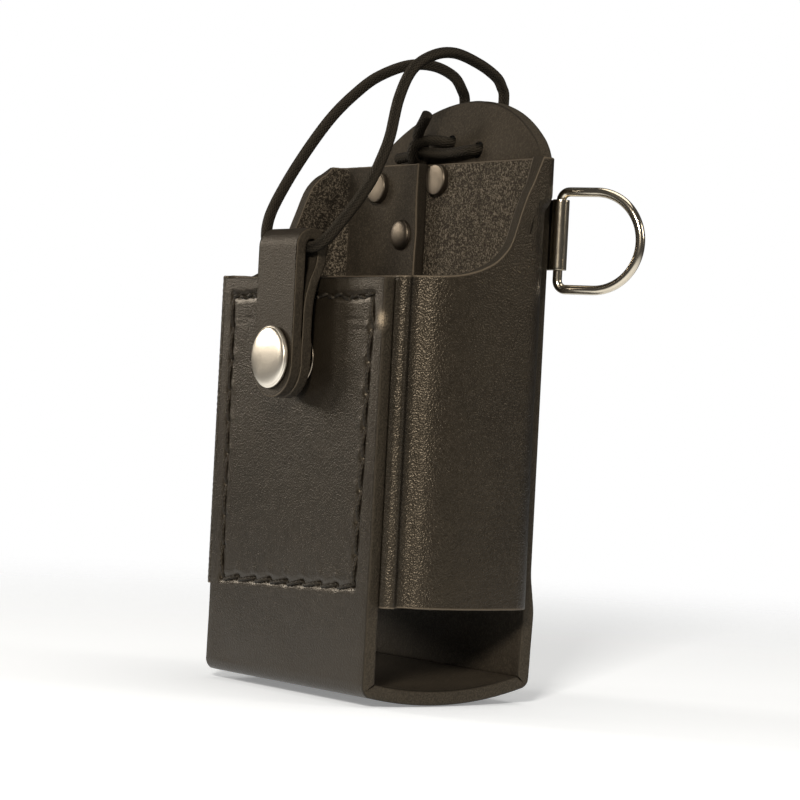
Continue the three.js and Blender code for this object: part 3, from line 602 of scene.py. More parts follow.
def tube_piece(name, path, diameter, sides, relief=None, round_ends=True, **piece):
    """A tube whose section is a circle of the diameter plus relief(turn, length), with domed ends."""
    first, second, along = carried_frames(path)
    run = np.concatenate([[0], np.cumsum(np.linalg.norm(np.diff(path, axis=0), axis=1))])
    turn = np.linspace(0, 2 * np.pi, sides, endpoint=False)
    radius = np.full((len(path), sides), diameter / 2)
    if relief is not None:
        radius = radius + relief(turn[None, :], run[:, None])
    ring = np.cos(turn)[None, :, None] * first[:, None] + np.sin(turn)[None, :, None] * second[:, None]
    rows = path[:, None] + ring * radius[..., None]
    bulge = diameter * (0.34 if round_ends else 0.07)
    lows, highs, run_rows = [], [], []
    for k in range(1, CAP_ROWS + 1):
        angle = k / CAP_ROWS * math.pi / 2 * 0.985
        shrink, push = math.cos(angle), math.sin(angle) * bulge
        lows.insert(0, path[0] - along[0] * push + ring[0] * radius[0][:, None] * shrink)
        highs.append(path[-1] + along[-1] * push + ring[-1] * radius[-1][:, None] * shrink)
        run_rows.append(push)
    rows = np.concatenate([np.array(lows), rows, np.array(highs)])
    reach = np.concatenate([-np.array(run_rows[::-1]), run, run[-1] + np.array(run_rows)])
    count = len(rows)
    ends = np.array([rows[0].mean(0), rows[-1].mean(0)])
    points = np.concatenate([rows.reshape(-1, 3), ends])
    quads = np.concatenate([grid_faces(count, sides, close_columns=True), *end_fans(count, sides)])

    def uv(mesh):
        """Girth as the share of a turn, length in girths, so that yarns cross at one angle."""
        index = np.zeros(len(mesh.loops), int)
        mesh.loops.foreach_get("vertex_index", index)
        on_tube = index < count * sides
        around = np.where(on_tube, (index % sides) / sides, 0.0)
        polygon = np.repeat(np.arange(len(mesh.polygons)), 4)
        low = np.full(len(mesh.polygons), 2.0)
        high = np.full(len(mesh.polygons), -1.0)
        np.minimum.at(low, polygon, around)
        np.maximum.at(high, polygon, around)
        over_seam = (high - low)[polygon] > 0.5
        around = np.where(over_seam & (around < 0.25), around + 1, around)
        length = np.where(on_tube, reach[np.minimum(index // sides, count - 1)], 0.0)
        return np.stack([around, length / (math.pi * diameter)], 1)

    return make_piece(name, points, quads, uv=uv, **piece)


def braid_relief(turn, length):
    """Two sets of yarns wind opposite ways; the higher one shows where they cross."""
    lay = length * 2 / CORD * YARN_LAY
    yarns = np.maximum(np.sin(YARNS * turn + lay), np.sin(YARNS * turn - lay))
    return 0.012 * yarns - 0.01


long_run = curve_through(left_tail + left_strand + eye_span + right_strand + right_tail)
cord_options = {"material": braid, "slot": "braided_elastic", "relief": braid_relief}
retainer = tube_piece("retainer_cord", long_run, CORD, 32, body=None,
                      nodes=("elastic_loop", "elastic_anchor_left", "elastic_anchor_right"), **cord_options)
knot_short = tube_piece("knot_short_end", curve_through(short_run, 0.35), CORD, 32, body="root",
                        nodes=("elastic_end_short", "elastic_knot"), round_ends=False, **cord_options)
knot_upper = tube_piece("knot_upper_end", curve_through(upper_run, 0.35), CORD, 32, body="root",
                        nodes=("elastic_end_upper",), round_ends=False, **cord_options)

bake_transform(retainer)

# %% [markdown]
# ## A sheet of leather with real thickness
# Each leather piece is two grids of points, the grain side and the flesh side. A rim joins them round
# all four edges: a quarter round, the cut edge, and a second quarter round, as an edge beveller
# leaves. Holes are quads left out of both grids, with a wall joining the two sides.


# %% Leather shell
def perimeter(rows, columns):
    """The row and the column of each of the grid's outer points, in order round it."""
    r = np.concatenate([np.zeros(columns - 1), np.arange(rows - 1), np.full(columns - 1, rows - 1),
                        np.arange(rows - 1, 0, -1)]).astype(int)
    c = np.concatenate([np.arange(columns - 1), np.full(rows - 1, columns - 1), np.arange(columns - 1, 0, -1),
                        np.zeros(rows - 1)]).astype(int)
    return r, c


def outward(grid):
    """At each perimeter point, the direction that leads off the sheet in its own plane."""
    rows, columns = grid.shape[:2]
    r, c = perimeter(rows, columns)
    total = np.zeros((len(r), 3))
    for edge, dr, dc in ((r == 0, 1, 0), (r == rows - 1, -1, 0), (c == 0, 0, 1), (c == columns - 1, 0, -1)):
        inner = grid[np.clip(r + dr, 0, rows - 1), np.clip(c + dc, 0, columns - 1)]
        total += np.where(edge[:, None], unit(grid[r, c] - inner), 0)
    return unit(total)


BEVEL_ANGLES = (0.45, 0.95, math.pi / 2)  # where the rim's points stand on the bevel's quarter circle


def shell(name, outer, inner, bevel, nap, scuff=None, holes=(), **piece):
    """A closed sheet between two grids. A point of the rim is the edge, less the bevel's radius by one
    minus the sine of an angle, moved through the sheet by the radius by one minus its cosine. nap is the
    flesh side's fibre, per inner point, and holes are (mask over the quads, function that snaps the
    wall's points to their circle)."""
    rows, columns = outer.shape[:2]
    count = rows * columns
    r, c = perimeter(rows, columns)
    out_outer, out_inner = outward(outer), outward(inner)
    through = unit(inner - outer)[r, c]
    thick = np.linalg.norm(inner - outer, axis=-1)[r, c]
    edge_outer, edge_inner = outer[r, c].copy(), inner[r, c].copy()
    outer, inner = outer.copy(), inner.copy()
    outer[r, c] -= out_outer * bevel
    inner[r, c] -= out_inner * bevel
    rings, rim_values, nap_values = [], [], []
    inner_nap = np.broadcast_to(nap, (rows, columns))
    for angle in BEVEL_ANGLES:
        rings.append(edge_outer - out_outer * bevel * (1 - math.sin(angle))
                     + through * bevel * (1 - math.cos(angle)))
        rim_values.append(0.25 + 0.75 * angle / (math.pi / 2))
        nap_values.append(0.0)
    for share in (0.25, 0.5, 0.75):
        depth = bevel + (thick - 2 * bevel) * share
        path = edge_outer * (1 - share) + edge_inner * share
        direct = edge_outer + through * depth[:, None]
        rings.append(np.where((thick > 2 * bevel)[:, None], path * 0.5 + direct * 0.5, path))
        rim_values.append(1.0)
        nap_values.append(0.0)
    for angle in BEVEL_ANGLES[::-1]:
        rings.append(edge_inner - out_inner * bevel * (1 - math.sin(angle))
                     - through * bevel * (1 - math.cos(angle)))
        rim_values.append(0.25 + 0.75 * angle / (math.pi / 2))
        nap_values.append(0.15)
    rings = np.array(rings)
    wobble = smooth_noise(rings, 1.6, 5) * 0.07 + smooth_noise(rings, 0.7, 6) * 0.04
    rings[2:7] += (out_outer[None] * wobble[2:7, :, None])

    quads = grid_faces(rows, columns)
    keep = np.ones(len(quads), bool)
    for mask, _ in holes:
        keep &= ~mask.ravel()
    walls = []
    for mask, snap in holes:
        wall, edge_points = hole_wall(mask, rows, columns)
        flat_outer, flat_inner = outer.reshape(-1, 3), inner.reshape(-1, 3)
        flat_outer[edge_points] = snap(flat_outer[edge_points])
        flat_inner[edge_points] = snap(flat_inner[edge_points])
        walls.append(np.stack([wall[:, 1], wall[:, 0], wall[:, 0] + count, wall[:, 1] + count], 1))
    quads = quads[keep]

    ring_points = len(r)
    edge_index = r * columns + c
    base = 2 * count
    chain = [edge_index] + [base + k * ring_points + np.arange(ring_points) for k in range(len(rings))]
    chain.append(count + edge_index)
    strips = []
    for low, high in zip(chain[:-1], chain[1:]):
        strips.append(np.stack([np.roll(low, -1), low, high, np.roll(high, -1)], 1))
    faces = np.concatenate([quads, quads[:, ::-1] + count, *strips, *walls])
    points = np.concatenate([outer.reshape(-1, 3), inner.reshape(-1, 3), rings.reshape(-1, 3)])
    edge_rim = np.zeros(count)
    edge_rim[edge_index] = 0.12
    attributes = {
        "rim": np.concatenate([edge_rim, np.zeros(count), np.repeat(rim_values, ring_points)]),
        "nap": np.concatenate([np.zeros(count), inner_nap.ravel(), np.repeat(nap_values, ring_points)]),
        "scuff": np.zeros(len(points)) if scuff is None else scuff(points),
    }
    return make_piece(name, points, faces, attributes=attributes, **piece)


def hole_wall(mask, rows, columns):
    """The directed edges round a hole's left-out quads, and the points on them."""
    quads = grid_faces(rows, columns)[mask.ravel()]
    edges = np.concatenate([quads[:, [0, 1]], quads[:, [1, 2]], quads[:, [2, 3]], quads[:, [3, 0]]])
    size = rows * columns
    codes = edges[:, 0] * size + edges[:, 1]
    twins = edges[:, 1] * size + edges[:, 0]
    border = edges[~np.isin(codes, twins)]
    return border, np.unique(border)


def round_hole(outer, x, z, radius):
    """The quads within a radius of a point, and the snap to that circle, for a sheet that faces Y."""
    middle = (outer[:-1, :-1] + outer[1:, 1:] + outer[:-1, 1:] + outer[1:, :-1]) / 4
    side = np.sign(middle[..., 1])

    def snap(points):
        """Each point moved along its line from the hole's middle until it is a radius away."""
        away = points[:, [0, 2]] - [x, z]
        length = np.maximum(np.linalg.norm(away, axis=1, keepdims=True), 1e-6)
        moved = points.copy()
        moved[:, [0, 2]] = [x, z] + away / length * radius
        return moved

    near = np.hypot(middle[..., 0] - x, middle[..., 2] - z) < radius
    return near & (side > 0), snap


# %% [markdown]
# ## The stitched line
# A saddle-stitched line runs round the panel, over four millimetres in. The thread dives at each hole and
# pulls the grain down with it, so the same list of holes shapes the thread and dents the leather. The
# top row is back-stitched: short, crowded stitches that take the pull of the snap.

# %% Stitch holes
STITCH_INSET = 4.3
STITCH_TOP = 100.2
STITCH_BOTTOM = 27.8
stitch_x = HALF_STRAP - STITCH_INSET
stitch_corners = np.array([[stitch_x, STITCH_TOP], [stitch_x - 2, STITCH_BOTTOM + 1.2],
                           [-stitch_x + 1.4, STITCH_BOTTOM - 1.2], [-stitch_x, STITCH_TOP]])
LONG_PITCH = 8.3
SHORT_PITCH = 3.3


def between(start, end, pitch):
    """Holes a pitch apart from one corner to the next, without the last."""
    count = max(int(round(np.linalg.norm(end - start) / pitch)), 1)
    share = np.arange(count)[:, None] / count
    return start + (end - start) * share


runs = [between(stitch_corners[0], stitch_corners[1], LONG_PITCH),
        between(stitch_corners[1], stitch_corners[2], LONG_PITCH * 0.93),
        between(stitch_corners[2], stitch_corners[3], LONG_PITCH),
        between(stitch_corners[3], stitch_corners[0], SHORT_PITCH)]
stitch_holes = np.concatenate(runs)
hole_random = np.random.default_rng(11)
stitch_holes = stitch_holes + hole_random.normal(0, 0.16, stitch_holes.shape)
print("stitch holes:", len(stitch_holes))


def panel_relief(x, z):
    """How far the grain face is pushed in: a groove under the thread, a pit at each hole, a pucker
    beside it, and two faint creases under the top row."""
    nearest_pit = np.full(x.shape, 99.0)
    pucker = np.zeros(x.shape)
    groove = np.full(x.shape, 99.0)
    following = np.roll(stitch_holes, -1, axis=0)
    for (hx, hz), (nx, nz) in zip(stitch_holes, following):
        inward = unit(np.array([-hx, 0.0]) if hz > STITCH_BOTTOM + 2 else np.array([0.0, 1.0]))
        shallow = 0.35 if hz > STITCH_TOP - 2 else 0.0
        pit = np.hypot(x - hx - inward[0] * 0.3, z - hz - inward[1] * 0.3) + shallow
        nearest_pit = np.minimum(nearest_pit, pit)
        toward = np.array([nx - hx, nz - hz])
        length = np.linalg.norm(toward)
        share = np.clip(((x - hx) * toward[0] + (z - hz) * toward[1]) / length**2, 0, 1)
        across = np.hypot(x - hx - share * toward[0], z - hz - share * toward[1])
        groove = np.minimum(groove, across)
        if hz < STITCH_TOP - 2:
            pucker += bell(np.hypot(x - hx - inward[0] * 1.7, (z - hz - 0.8) * 0.6 - inward[1]), 0.8)
    creases = bell(z - 94.4 - 0.3 * np.sin(x * 0.4), 0.22) * (np.abs(x) > 19)
    creases = creases + bell(z - 92.6 + 0.02 * x, 0.18) * (np.abs(x) > 23) * 0.6
    return 0.34 * bell(groove, 0.8) + 1.15 * bell(nearest_pit, 0.72) - 0.16 * pucker + 0.12 * creases


# %% [markdown]
# ## The cradle strap
# One strip goes down the front, under the floor and up the back. The floor sags, the two folds are
# sharp because each is grooved inside, and the back stands out where the body lets go of it. The
# profile is worked out in depth and height, once for the grain side and once for the flesh side.

# %% Strap profile
PANEL_TOP = 105.0
FLOOR_RADIUS = 95.0
FLOOR_LOW_Y = -3.0
HEAD_TOP = 155.0
HEAD_RADIUS = 50.0
HEAD_LEAN = 4.0
LEAN_FROM = 138.0
CORNER = 2.1
SHOULDER = 4.0
FRONT_ROWS = 170


def floor_height(y):
    """The floor is a shallow arc."""
    return (y - FLOOR_LOW_Y) ** 2 / (2 * FLOOR_RADIUS)


def head_height(x):
    """The head's outline: one wide arc, with a small round at each shoulder."""
    arc = HEAD_TOP - HEAD_RADIUS + np.sqrt(HEAD_RADIUS**2 - np.minimum(np.abs(x), HALF_STRAP) ** 2)
    edge = HEAD_TOP - HEAD_RADIUS + math.sqrt(HEAD_RADIUS**2 - HALF_STRAP**2)
    inner = HEAD_TOP - HEAD_RADIUS + math.sqrt(HEAD_RADIUS**2 - (HALF_STRAP - SHOULDER) ** 2)
    t = np.sqrt(np.clip((HALF_STRAP - np.abs(x)) / SHOULDER, 0, 1))
    curve = (1 - t) ** 2 * (edge - SHOULDER) + 2 * t * (1 - t) * edge + t**2 * inner
    return np.where(np.abs(x) > HALF_STRAP - SHOULDER, curve, arc)


def back_line(z, inset):
    """The back's depth at a height: straight, bowed out near the floor, leaning back at the head."""
    bow = eased(z, [2, 8, 14, 19, 23, 28, 32, 37, 43], [0.6, 0.9, 1.1, 1.3, 1.4, 0.7, 0.1, 0, 0])
    lean = HEAD_LEAN * (np.clip(z - LEAN_FROM, 0, None) / (HEAD_TOP - LEAN_FROM)) ** 1.5
    return BACK_Y - inset + bow + lean


def strap_profile(front_steps=FRONT_ROWS, floor_steps=46, back_steps=118):
    """The grain and flesh sides as depth and height, row by row down the front, round the toe fold,
    under the floor, round the heel fold and up the back. A fold is an arc between two straight runs."""
    fold_steps = 7
    t = STRAP_LEATHER
    heel_slope = math.atan2(floor_height(BACK_Y) - floor_height(BACK_Y - 1), 1.0)
    toe_slope = math.atan2(floor_height(FRONT_Y + 1) - floor_height(FRONT_Y), 1.0)
    front_top = floor_height(FRONT_Y) + CORNER * 1.25
    z = np.linspace(PANEL_TOP, front_top, front_steps)
    front_outer = np.stack([np.full_like(z, FRONT_Y), z], 1)
    inner_toe = floor_height(FRONT_Y + t) + t + 0.5
    zi = PANEL_TOP + (z - PANEL_TOP) * (PANEL_TOP - inner_toe) / (PANEL_TOP - front_top)
    front_inner = np.stack([np.full_like(zi, FRONT_Y + t), zi], 1)

    angle = np.linspace(math.pi, 1.5 * math.pi + toe_slope, fold_steps + 2)
    toe_centre = np.array([FRONT_Y + CORNER, front_top])
    toe_outer = toe_centre + CORNER * np.stack([np.cos(angle), np.sin(angle)], 1)
    toe_outer[:, 1] += np.linspace(0, floor_height(toe_outer[-1, 0]) - toe_outer[-1, 1], len(angle))
    y = np.linspace(toe_outer[-1, 0], BACK_Y + 0.5 - CORNER, floor_steps)
    floor_outer = np.stack([y, floor_height(y)], 1)
    yi = np.linspace(FRONT_Y + t + 0.5, BACK_Y - t, floor_steps)
    floor_inner = np.stack([yi, floor_height(yi) + t], 1)

    heel_angle = np.linspace(-math.pi / 2 + heel_slope, 0.0, fold_steps + 2)
    heel_base = floor_height(y[-1])
    heel_centre = np.array([y[-1] - CORNER * math.cos(heel_angle[0]),
                            heel_base - CORNER * math.sin(heel_angle[0])])
    heel_outer = heel_centre + CORNER * np.stack([np.cos(heel_angle), np.sin(heel_angle)], 1)
    back_z = heel_outer[-1, 1] + 0.8
    rise = np.linspace(back_z, HEAD_TOP, back_steps)
    back_outer = np.stack([back_line(rise, 0), rise], 1)
    heel_outer[:, 0] += np.linspace(0, back_outer[0, 0] - heel_outer[-1, 0], len(heel_angle))
    heel_in = floor_height(BACK_Y - t) + t
    inner_rise = np.maximum(rise, 0) + (heel_in + 0.5 - back_z) * bell(rise - back_z, 12)
    back_inner = np.stack([back_line(rise, t), inner_rise], 1)

    def grooved(corner, outer_fold, before, after):
        """The flesh side at a fold: a slit runs from the inner corner most of the way out."""
        middle = outer_fold[len(outer_fold) // 2]
        deep = corner + (middle - corner) * 0.72
        part = corner + (middle - corner) * 0.34
        ahead, behind = unit(before - corner), unit(after - corner)
        return np.array([corner + ahead * 0.42, corner + ahead * 0.24, part + ahead * 0.13, deep,
                         part + behind * 0.13, corner + behind * 0.24, corner + behind * 0.42])

    toe_corner = np.array([FRONT_Y + t, floor_height(FRONT_Y + t) + t])
    toe_inner = grooved(toe_corner, toe_outer, front_inner[-8], floor_inner[6])
    heel_corner = np.array([back_line(np.array([heel_in]), t)[0], heel_in])
    heel_inner = grooved(heel_corner, heel_outer, floor_inner[-6], back_inner[8])
    outer = np.concatenate([front_outer, toe_outer[1:-1], floor_outer, heel_outer[1:-1], back_outer])
    inner = np.concatenate([front_inner, toe_inner, floor_inner, heel_inner, back_inner])
    return outer, inner, len(outer) - back_steps


strap_outer, strap_inner, back_start = strap_profile()
print("strap profile rows:", len(strap_outer))

# %% [markdown]
# ## The strap's surface
# The profile is repeated across the strap's width. A finer grid everywhere would be simple and heavy,
# so only the columns near the two stitched lines crowd together, where the thread dents the grain.
# The head's rows then close up towards its arc.


# %% Strap
def crowded(half, centres, base_step, fine_step, width):
    """Positions from -half to half that stand closer together near each centre."""
    probe = np.linspace(-half, half, 2001)
    density = np.full_like(probe, 1 / base_step)
    for centre in centres:
        density += (1 / fine_step - 1 / base_step) * bell(probe - centre, width)
    run = np.concatenate([[0], np.cumsum((density[1:] + density[:-1]) / 2 * np.diff(probe))])
    return np.interp(np.linspace(0, run[-1], int(run[-1]) + 1), run, probe)


HEAD_HOLES = ((-4, 143.6), (8.5, 141.4))
HEAD_HOLE_RADIUS = 2.3


def make_strap():
    """The profile at every column, with the panel's relief, slow waves and edge dip added in depth.
    Above the lean the height is a share of the way to the head's outline at that column."""
    columns = crowded(HALF_STRAP, (-31.4, 31.0), 0.85, 0.36, 1.9)
    x = columns[None, :]
    rows = len(strap_outer)
    grids = []
    for side in (strap_outer, strap_inner):
        y = np.repeat(side[:, :1], len(columns), 1)
        z = np.repeat(side[:, 1:], len(columns), 1)
        # The head's rows close up towards its arc, column by column.
        above = np.clip((side[:, 1:] - LEAN_FROM + 6) / (HEAD_TOP - LEAN_FROM + 6), 0, None)
        above = above * (np.arange(rows) >= back_start)[:, None]
        top = head_height(x)
        reach = (LEAN_FROM - 6) + above * (top - LEAN_FROM + 6)
        z = np.where(above > 0, reach, z)
        y = np.where(above > 0, back_line(z, 0) - (0 if side is strap_outer else STRAP_LEATHER), y)
        grids.append(np.stack([np.repeat(x, rows, 0), y, z], -1))
    outer, inner = grids
    on_panel = (np.arange(rows) < FRONT_ROWS)[:, None] & np.ones((1, len(columns)), bool)
    outer[..., 1] += np.where(on_panel, panel_relief(outer[..., 0], outer[..., 2]), 0)
    waves = smooth_noise(outer, 22, 1) * 0.16 + smooth_noise(outer, 9, 2) * 0.05
    outer[..., 1] += np.where(on_panel, waves, 0)
    edge_dip = bell(HALF_STRAP - np.abs(outer[..., 0]), 1.3)
    outer[..., 1] += np.where(on_panel, 0.12 * edge_dip, 0)

    def scuff(points):
        """One worn nick on the panel's right edge."""
        away = (points - [HALF_STRAP - 0.5, FRONT_Y, 94.6]) * [1, 1, 0.7]
        return bell(np.linalg.norm(away, axis=1), 1.15)

    holes = [round_hole(outer, hole_x, hole_z, HEAD_HOLE_RADIUS) for hole_x, hole_z in HEAD_HOLES]
    return shell("strap_leather", outer, inner, 0.50, 0.36, scuff=scuff, holes=holes, material=case_leather,
                 slot="case_leather", body="root", nodes=("cradle_strap",))


make_strap()

# %% [markdown]
# ## Rivet places
# Five rivets join the back, the body and the belt loop. They come before the body because the middle
# one pulls the body's flap towards itself, so the leather has to know where it is.

# %% Rivet places
LOOP_X = -13.2
RIVET_PITCH = 21.7
RIVET_LEFT, RIVET_RIGHT = LOOP_X - RIVET_PITCH / 2, LOOP_X + RIVET_PITCH / 2
RIVET_X = {"upper_left": RIVET_LEFT, "upper_right": RIVET_RIGHT, "middle": LOOP_X - 0.7,
           "lower_left": RIVET_LEFT, "lower_right": RIVET_RIGHT}
RIVET_Z = {"upper_left": 131.8, "upper_right": 133.5, "middle": 119.1, "lower_left": 40.4,
           "lower_right": 40.4}
print("rivets:", len(RIVET_X))

# %% [markdown]
# ## The wrap-round body
# The second piece of leather goes once round the case. Seen from above it runs along the back, round
# the right corner, along the side in a long bow, through a pressed groove and a rounded bead beside
# the strap's edge, behind the panel and the same on the left, and ends as a flap that overlaps its
# own start inside the back. Its top edge is level at the front and sweeps up to a wing on each side.

# %% Body measures
WRAP_HALF = HALF_STRAP + 8.75
WRAP_SHIFT = -0.95
WRAP_BOTTOM = 24.3
WRAP_TOP = 137.8
WRAP_CORNER = 8.0
SQUARE_FROM, SQUARE_TO = 124.0, 128.5
FLAP_END = -7.0
UNDERLAP_END = -34.0
LEFT_WING_SHIFT = -5.0
FLAP_STEPS = 32
wrap_front = FRONT_Y + STRAP_LEATHER + GAP
wrap_back = BACK_Y - STRAP_LEATHER - GAP
flap_outer = wrap_back - WRAP_LEATHER - GAP
WING_DEPTHS = [-30, -18, -5, -0.5, 4, 7.6, 9.7, 12.4, 15.3, 17.7, 19.2, 24]
LEFT_WING_HEIGHTS = [105.2, 105.8, 107.4, 110.2, 116.6, 125, 130.4, 134, 136, 137.1, 137.6, 137.8]
WING_HEIGHTS = [105.2, 105.8, 107.2, 108.8, 111.6, 116.4, 122.6, 129.2, 133.4, 136.3, 137.6, 137.8]
# The side in plan: how far in from the half width, and how far back from the front face.
GRAIN_PLAN = [(0.1, 18.4), (1.4, 12.2), (3.2, 7.9), (5.6, 5.2), (5.9, 3.2), (3.5, 1.0), (4.2, -0.9),
              (5.8, -1.6), (6.8, -1.2), (7.1, -0.3), (8.4, 0)]
FLESH_PLAN = [(0.1, 18.4), (1.3, 12.4), (3, 9.0), (4.6, 7.2), (5.2, 5.2), (5.9, 4), (6.9, 3.6), (7.7, 3.4),
              (8.4, 3.3), (9.2, 3.3), (9.8, 3.3)]


def side_plan(sign, corner_y, count):
    """The grain and flesh sides of one side in plan, from its back corner forward."""
    ends = [(0, corner_y), (-0.3, corner_y - 7.4)]
    grain = ends + [(inset, wrap_front + back) for inset, back in GRAIN_PLAN]
    flesh = [(inset + WRAP_LEATHER, y) for inset, y in ends]
    flesh += [(inset + WRAP_LEATHER, wrap_front + back) for inset, back in FLESH_PLAN]
    shares = (np.arange(count + 1) / count) ** 1.1
    planes = []
    for points in (grain, flesh):
        plan = catmull([[WRAP_SHIFT + sign * (WRAP_HALF - inset), y] for inset, y in points], shares)
        planes.append(plan)
    return planes


def corner_plan(sign, outer_y, turns, z):
    """A back corner at each height: round low down, and pressed square above. A superellipse."""
    square = np.clip((z - SQUARE_FROM) / (SQUARE_TO - SQUARE_FROM), 0, 1)
    square = square * square * (3 - 2 * square)
    power = 2 / (2 + 3 * square)
    centre = np.array([WRAP_SHIFT + sign * (WRAP_HALF - WRAP_CORNER), outer_y - WRAP_CORNER])
    across, along = np.cos(turns) ** power, np.sin(turns) ** power
    sides = []
    for radius in (WRAP_CORNER, WRAP_CORNER - WRAP_LEATHER):
        sides.append(np.stack([centre[0] + sign * radius * across, centre[1] + radius * along], -1))
    return sides


def make_wrap():
    """The plan, block by block round the case, at even levels between the bottom edge and the top edge
    over each point of the plan. The grain side is moved along the leather's own thickness."""
    levels = np.linspace(0, 1, 104)
    inner_corner = WRAP_HALF - WRAP_CORNER
    blocks, tops, corners = [], [], []

    def straight(from_x, to_x, outer_y, inner_y, steps, top):
        """A flat run at one depth and one height."""
        x = np.linspace(from_x, to_x, steps, endpoint=False)
        blocks.append((np.stack([x, np.full(steps, outer_y)], 1), np.stack([x, np.full(steps, inner_y)], 1)))
        tops.append(np.full(steps, top))

    def corner(sign, outer_y, turns):
        """A back corner: its plan changes with the level, so it is kept apart and laid in later."""
        z = WRAP_BOTTOM + (WRAP_TOP - WRAP_BOTTOM) * levels[:, None]
        corners.append((sum(len(top) for top in tops), corner_plan(sign, outer_y, turns[None, :], z)))
        blocks.append((np.zeros((len(turns), 2)), np.zeros((len(turns), 2))))
        tops.append(np.full(len(turns), WRAP_TOP))

    def side(sign, outer_y, shift, backwards):
        """A side, with its top edge from the wing's table of heights."""
        grain, flesh = side_plan(sign, outer_y - WRAP_CORNER, 84)
        if backwards:
            grain, flesh = grain[::-1], flesh[::-1]
        blocks.append((grain, flesh))
        heights = WING_HEIGHTS if sign > 0 else LEFT_WING_HEIGHTS
        tops.append(np.minimum(eased(grain[:, 1] - shift, WING_DEPTHS, heights), WRAP_TOP))

    turns = np.linspace(math.pi / 2, 0, 18, endpoint=False).clip(1e-6, math.pi / 2 - 1e-6)
    straight(UNDERLAP_END, WRAP_SHIFT + inner_corner, wrap_back, wrap_back - WRAP_LEATHER, 58, WRAP_TOP)
    corner(1, wrap_back, turns)
    side(1, wrap_back, 0, False)
    straight(WRAP_SHIFT + inner_corner - 8, WRAP_SHIFT - inner_corner + 8, wrap_front,
             wrap_front + WRAP_LEATHER, 34, float(eased(wrap_front, WING_DEPTHS, WING_HEIGHTS)))
    side(-1, flap_outer, LEFT_WING_SHIFT, True)
    corner(-1, flap_outer, turns[::-1])
    straight(WRAP_SHIFT - inner_corner + 1, FLAP_END, flap_outer, flap_outer - WRAP_LEATHER, FLAP_STEPS,
             WRAP_TOP)
    blocks.append((np.array([[FLAP_END, flap_outer]]), np.array([[FLAP_END, flap_outer - WRAP_LEATHER]])))
    tops.append(np.array([WRAP_TOP]))

    top = np.concatenate(tops)
    rows, columns = len(levels), len(top)
    z = WRAP_BOTTOM + (top - WRAP_BOTTOM)[None, :] * levels[:, None]
    grids = []
    for which in (0, 1):
        plan = np.concatenate([block[which] for block in blocks])
        grid = np.stack([np.repeat(plan[None, :, 0], rows, 0), np.repeat(plan[None, :, 1], rows, 0), z], -1)
        for start, sides in corners:
            grid[:, start:start + sides[which].shape[1], :2] = sides[which]
        grids.append(grid)
    outer, inner = grids
    normal = unit(outer - inner)
    # Fine cross wrinkles on the bead, where the leather was pushed round the former.
    bead = bell(outer[..., 1] - (wrap_front - 0.9), 1.3) * (np.abs(outer[..., 0]) > HALF_STRAP)
    wrinkle = np.sin(outer[..., 2] * 4.4 + 1.6 * smooth_noise(outer, 4.0, 3))
    wrinkle = wrinkle * (0.6 + 0.5 * smooth_noise(outer, 6, 4))
    swell = smooth_noise(outer, 24, 7) * 0.22 + smooth_noise(outer, 8, 8) * 0.05
    fixed = np.abs(outer[..., 1]) > wrap_back - 0.5
    outer += normal * (bead * wrinkle * 0.07 + swell * ~fixed)[..., None]
    flap = np.arange(columns) >= columns - FLAP_STEPS - 2
    # The middle rivet draws the flap in round itself.
    draw = bell(np.hypot(inner[..., 0] - RIVET_X["middle"], inner[..., 2] - RIVET_Z["middle"]), 6.2)
    inner[..., 1] += draw * 0.9 * flap[None, :]
    nap = np.where(flap[None, :], 0.40, 1.0) * np.ones((rows, 1))
    inner = inner + smooth_noise(inner, 5, 10)[..., None] * 0.10 * np.array([0, 1, 0])
    return shell("body_leather", outer, inner, 0.40, nap, material=wrap_hide, slot="case_leather",
                 body="root", nodes=("wrap_body",))


make_wrap()

# %% [markdown]
# ## The belt loop
# A strip is riveted flat above and below, and bows out between to take a belt. It is the same leather
# as the strap, so it uses the same shell, with its bow as a curve of depth against height.

# %% Belt loop
LOOP_WIDTH = 31.6
LOOP_LEATHER = 3.0
LOOP_TOP, LOOP_BOTTOM = 137.0, 35.6
BELT_MIDDLE, BELT_GAP = 79.0, 7.0


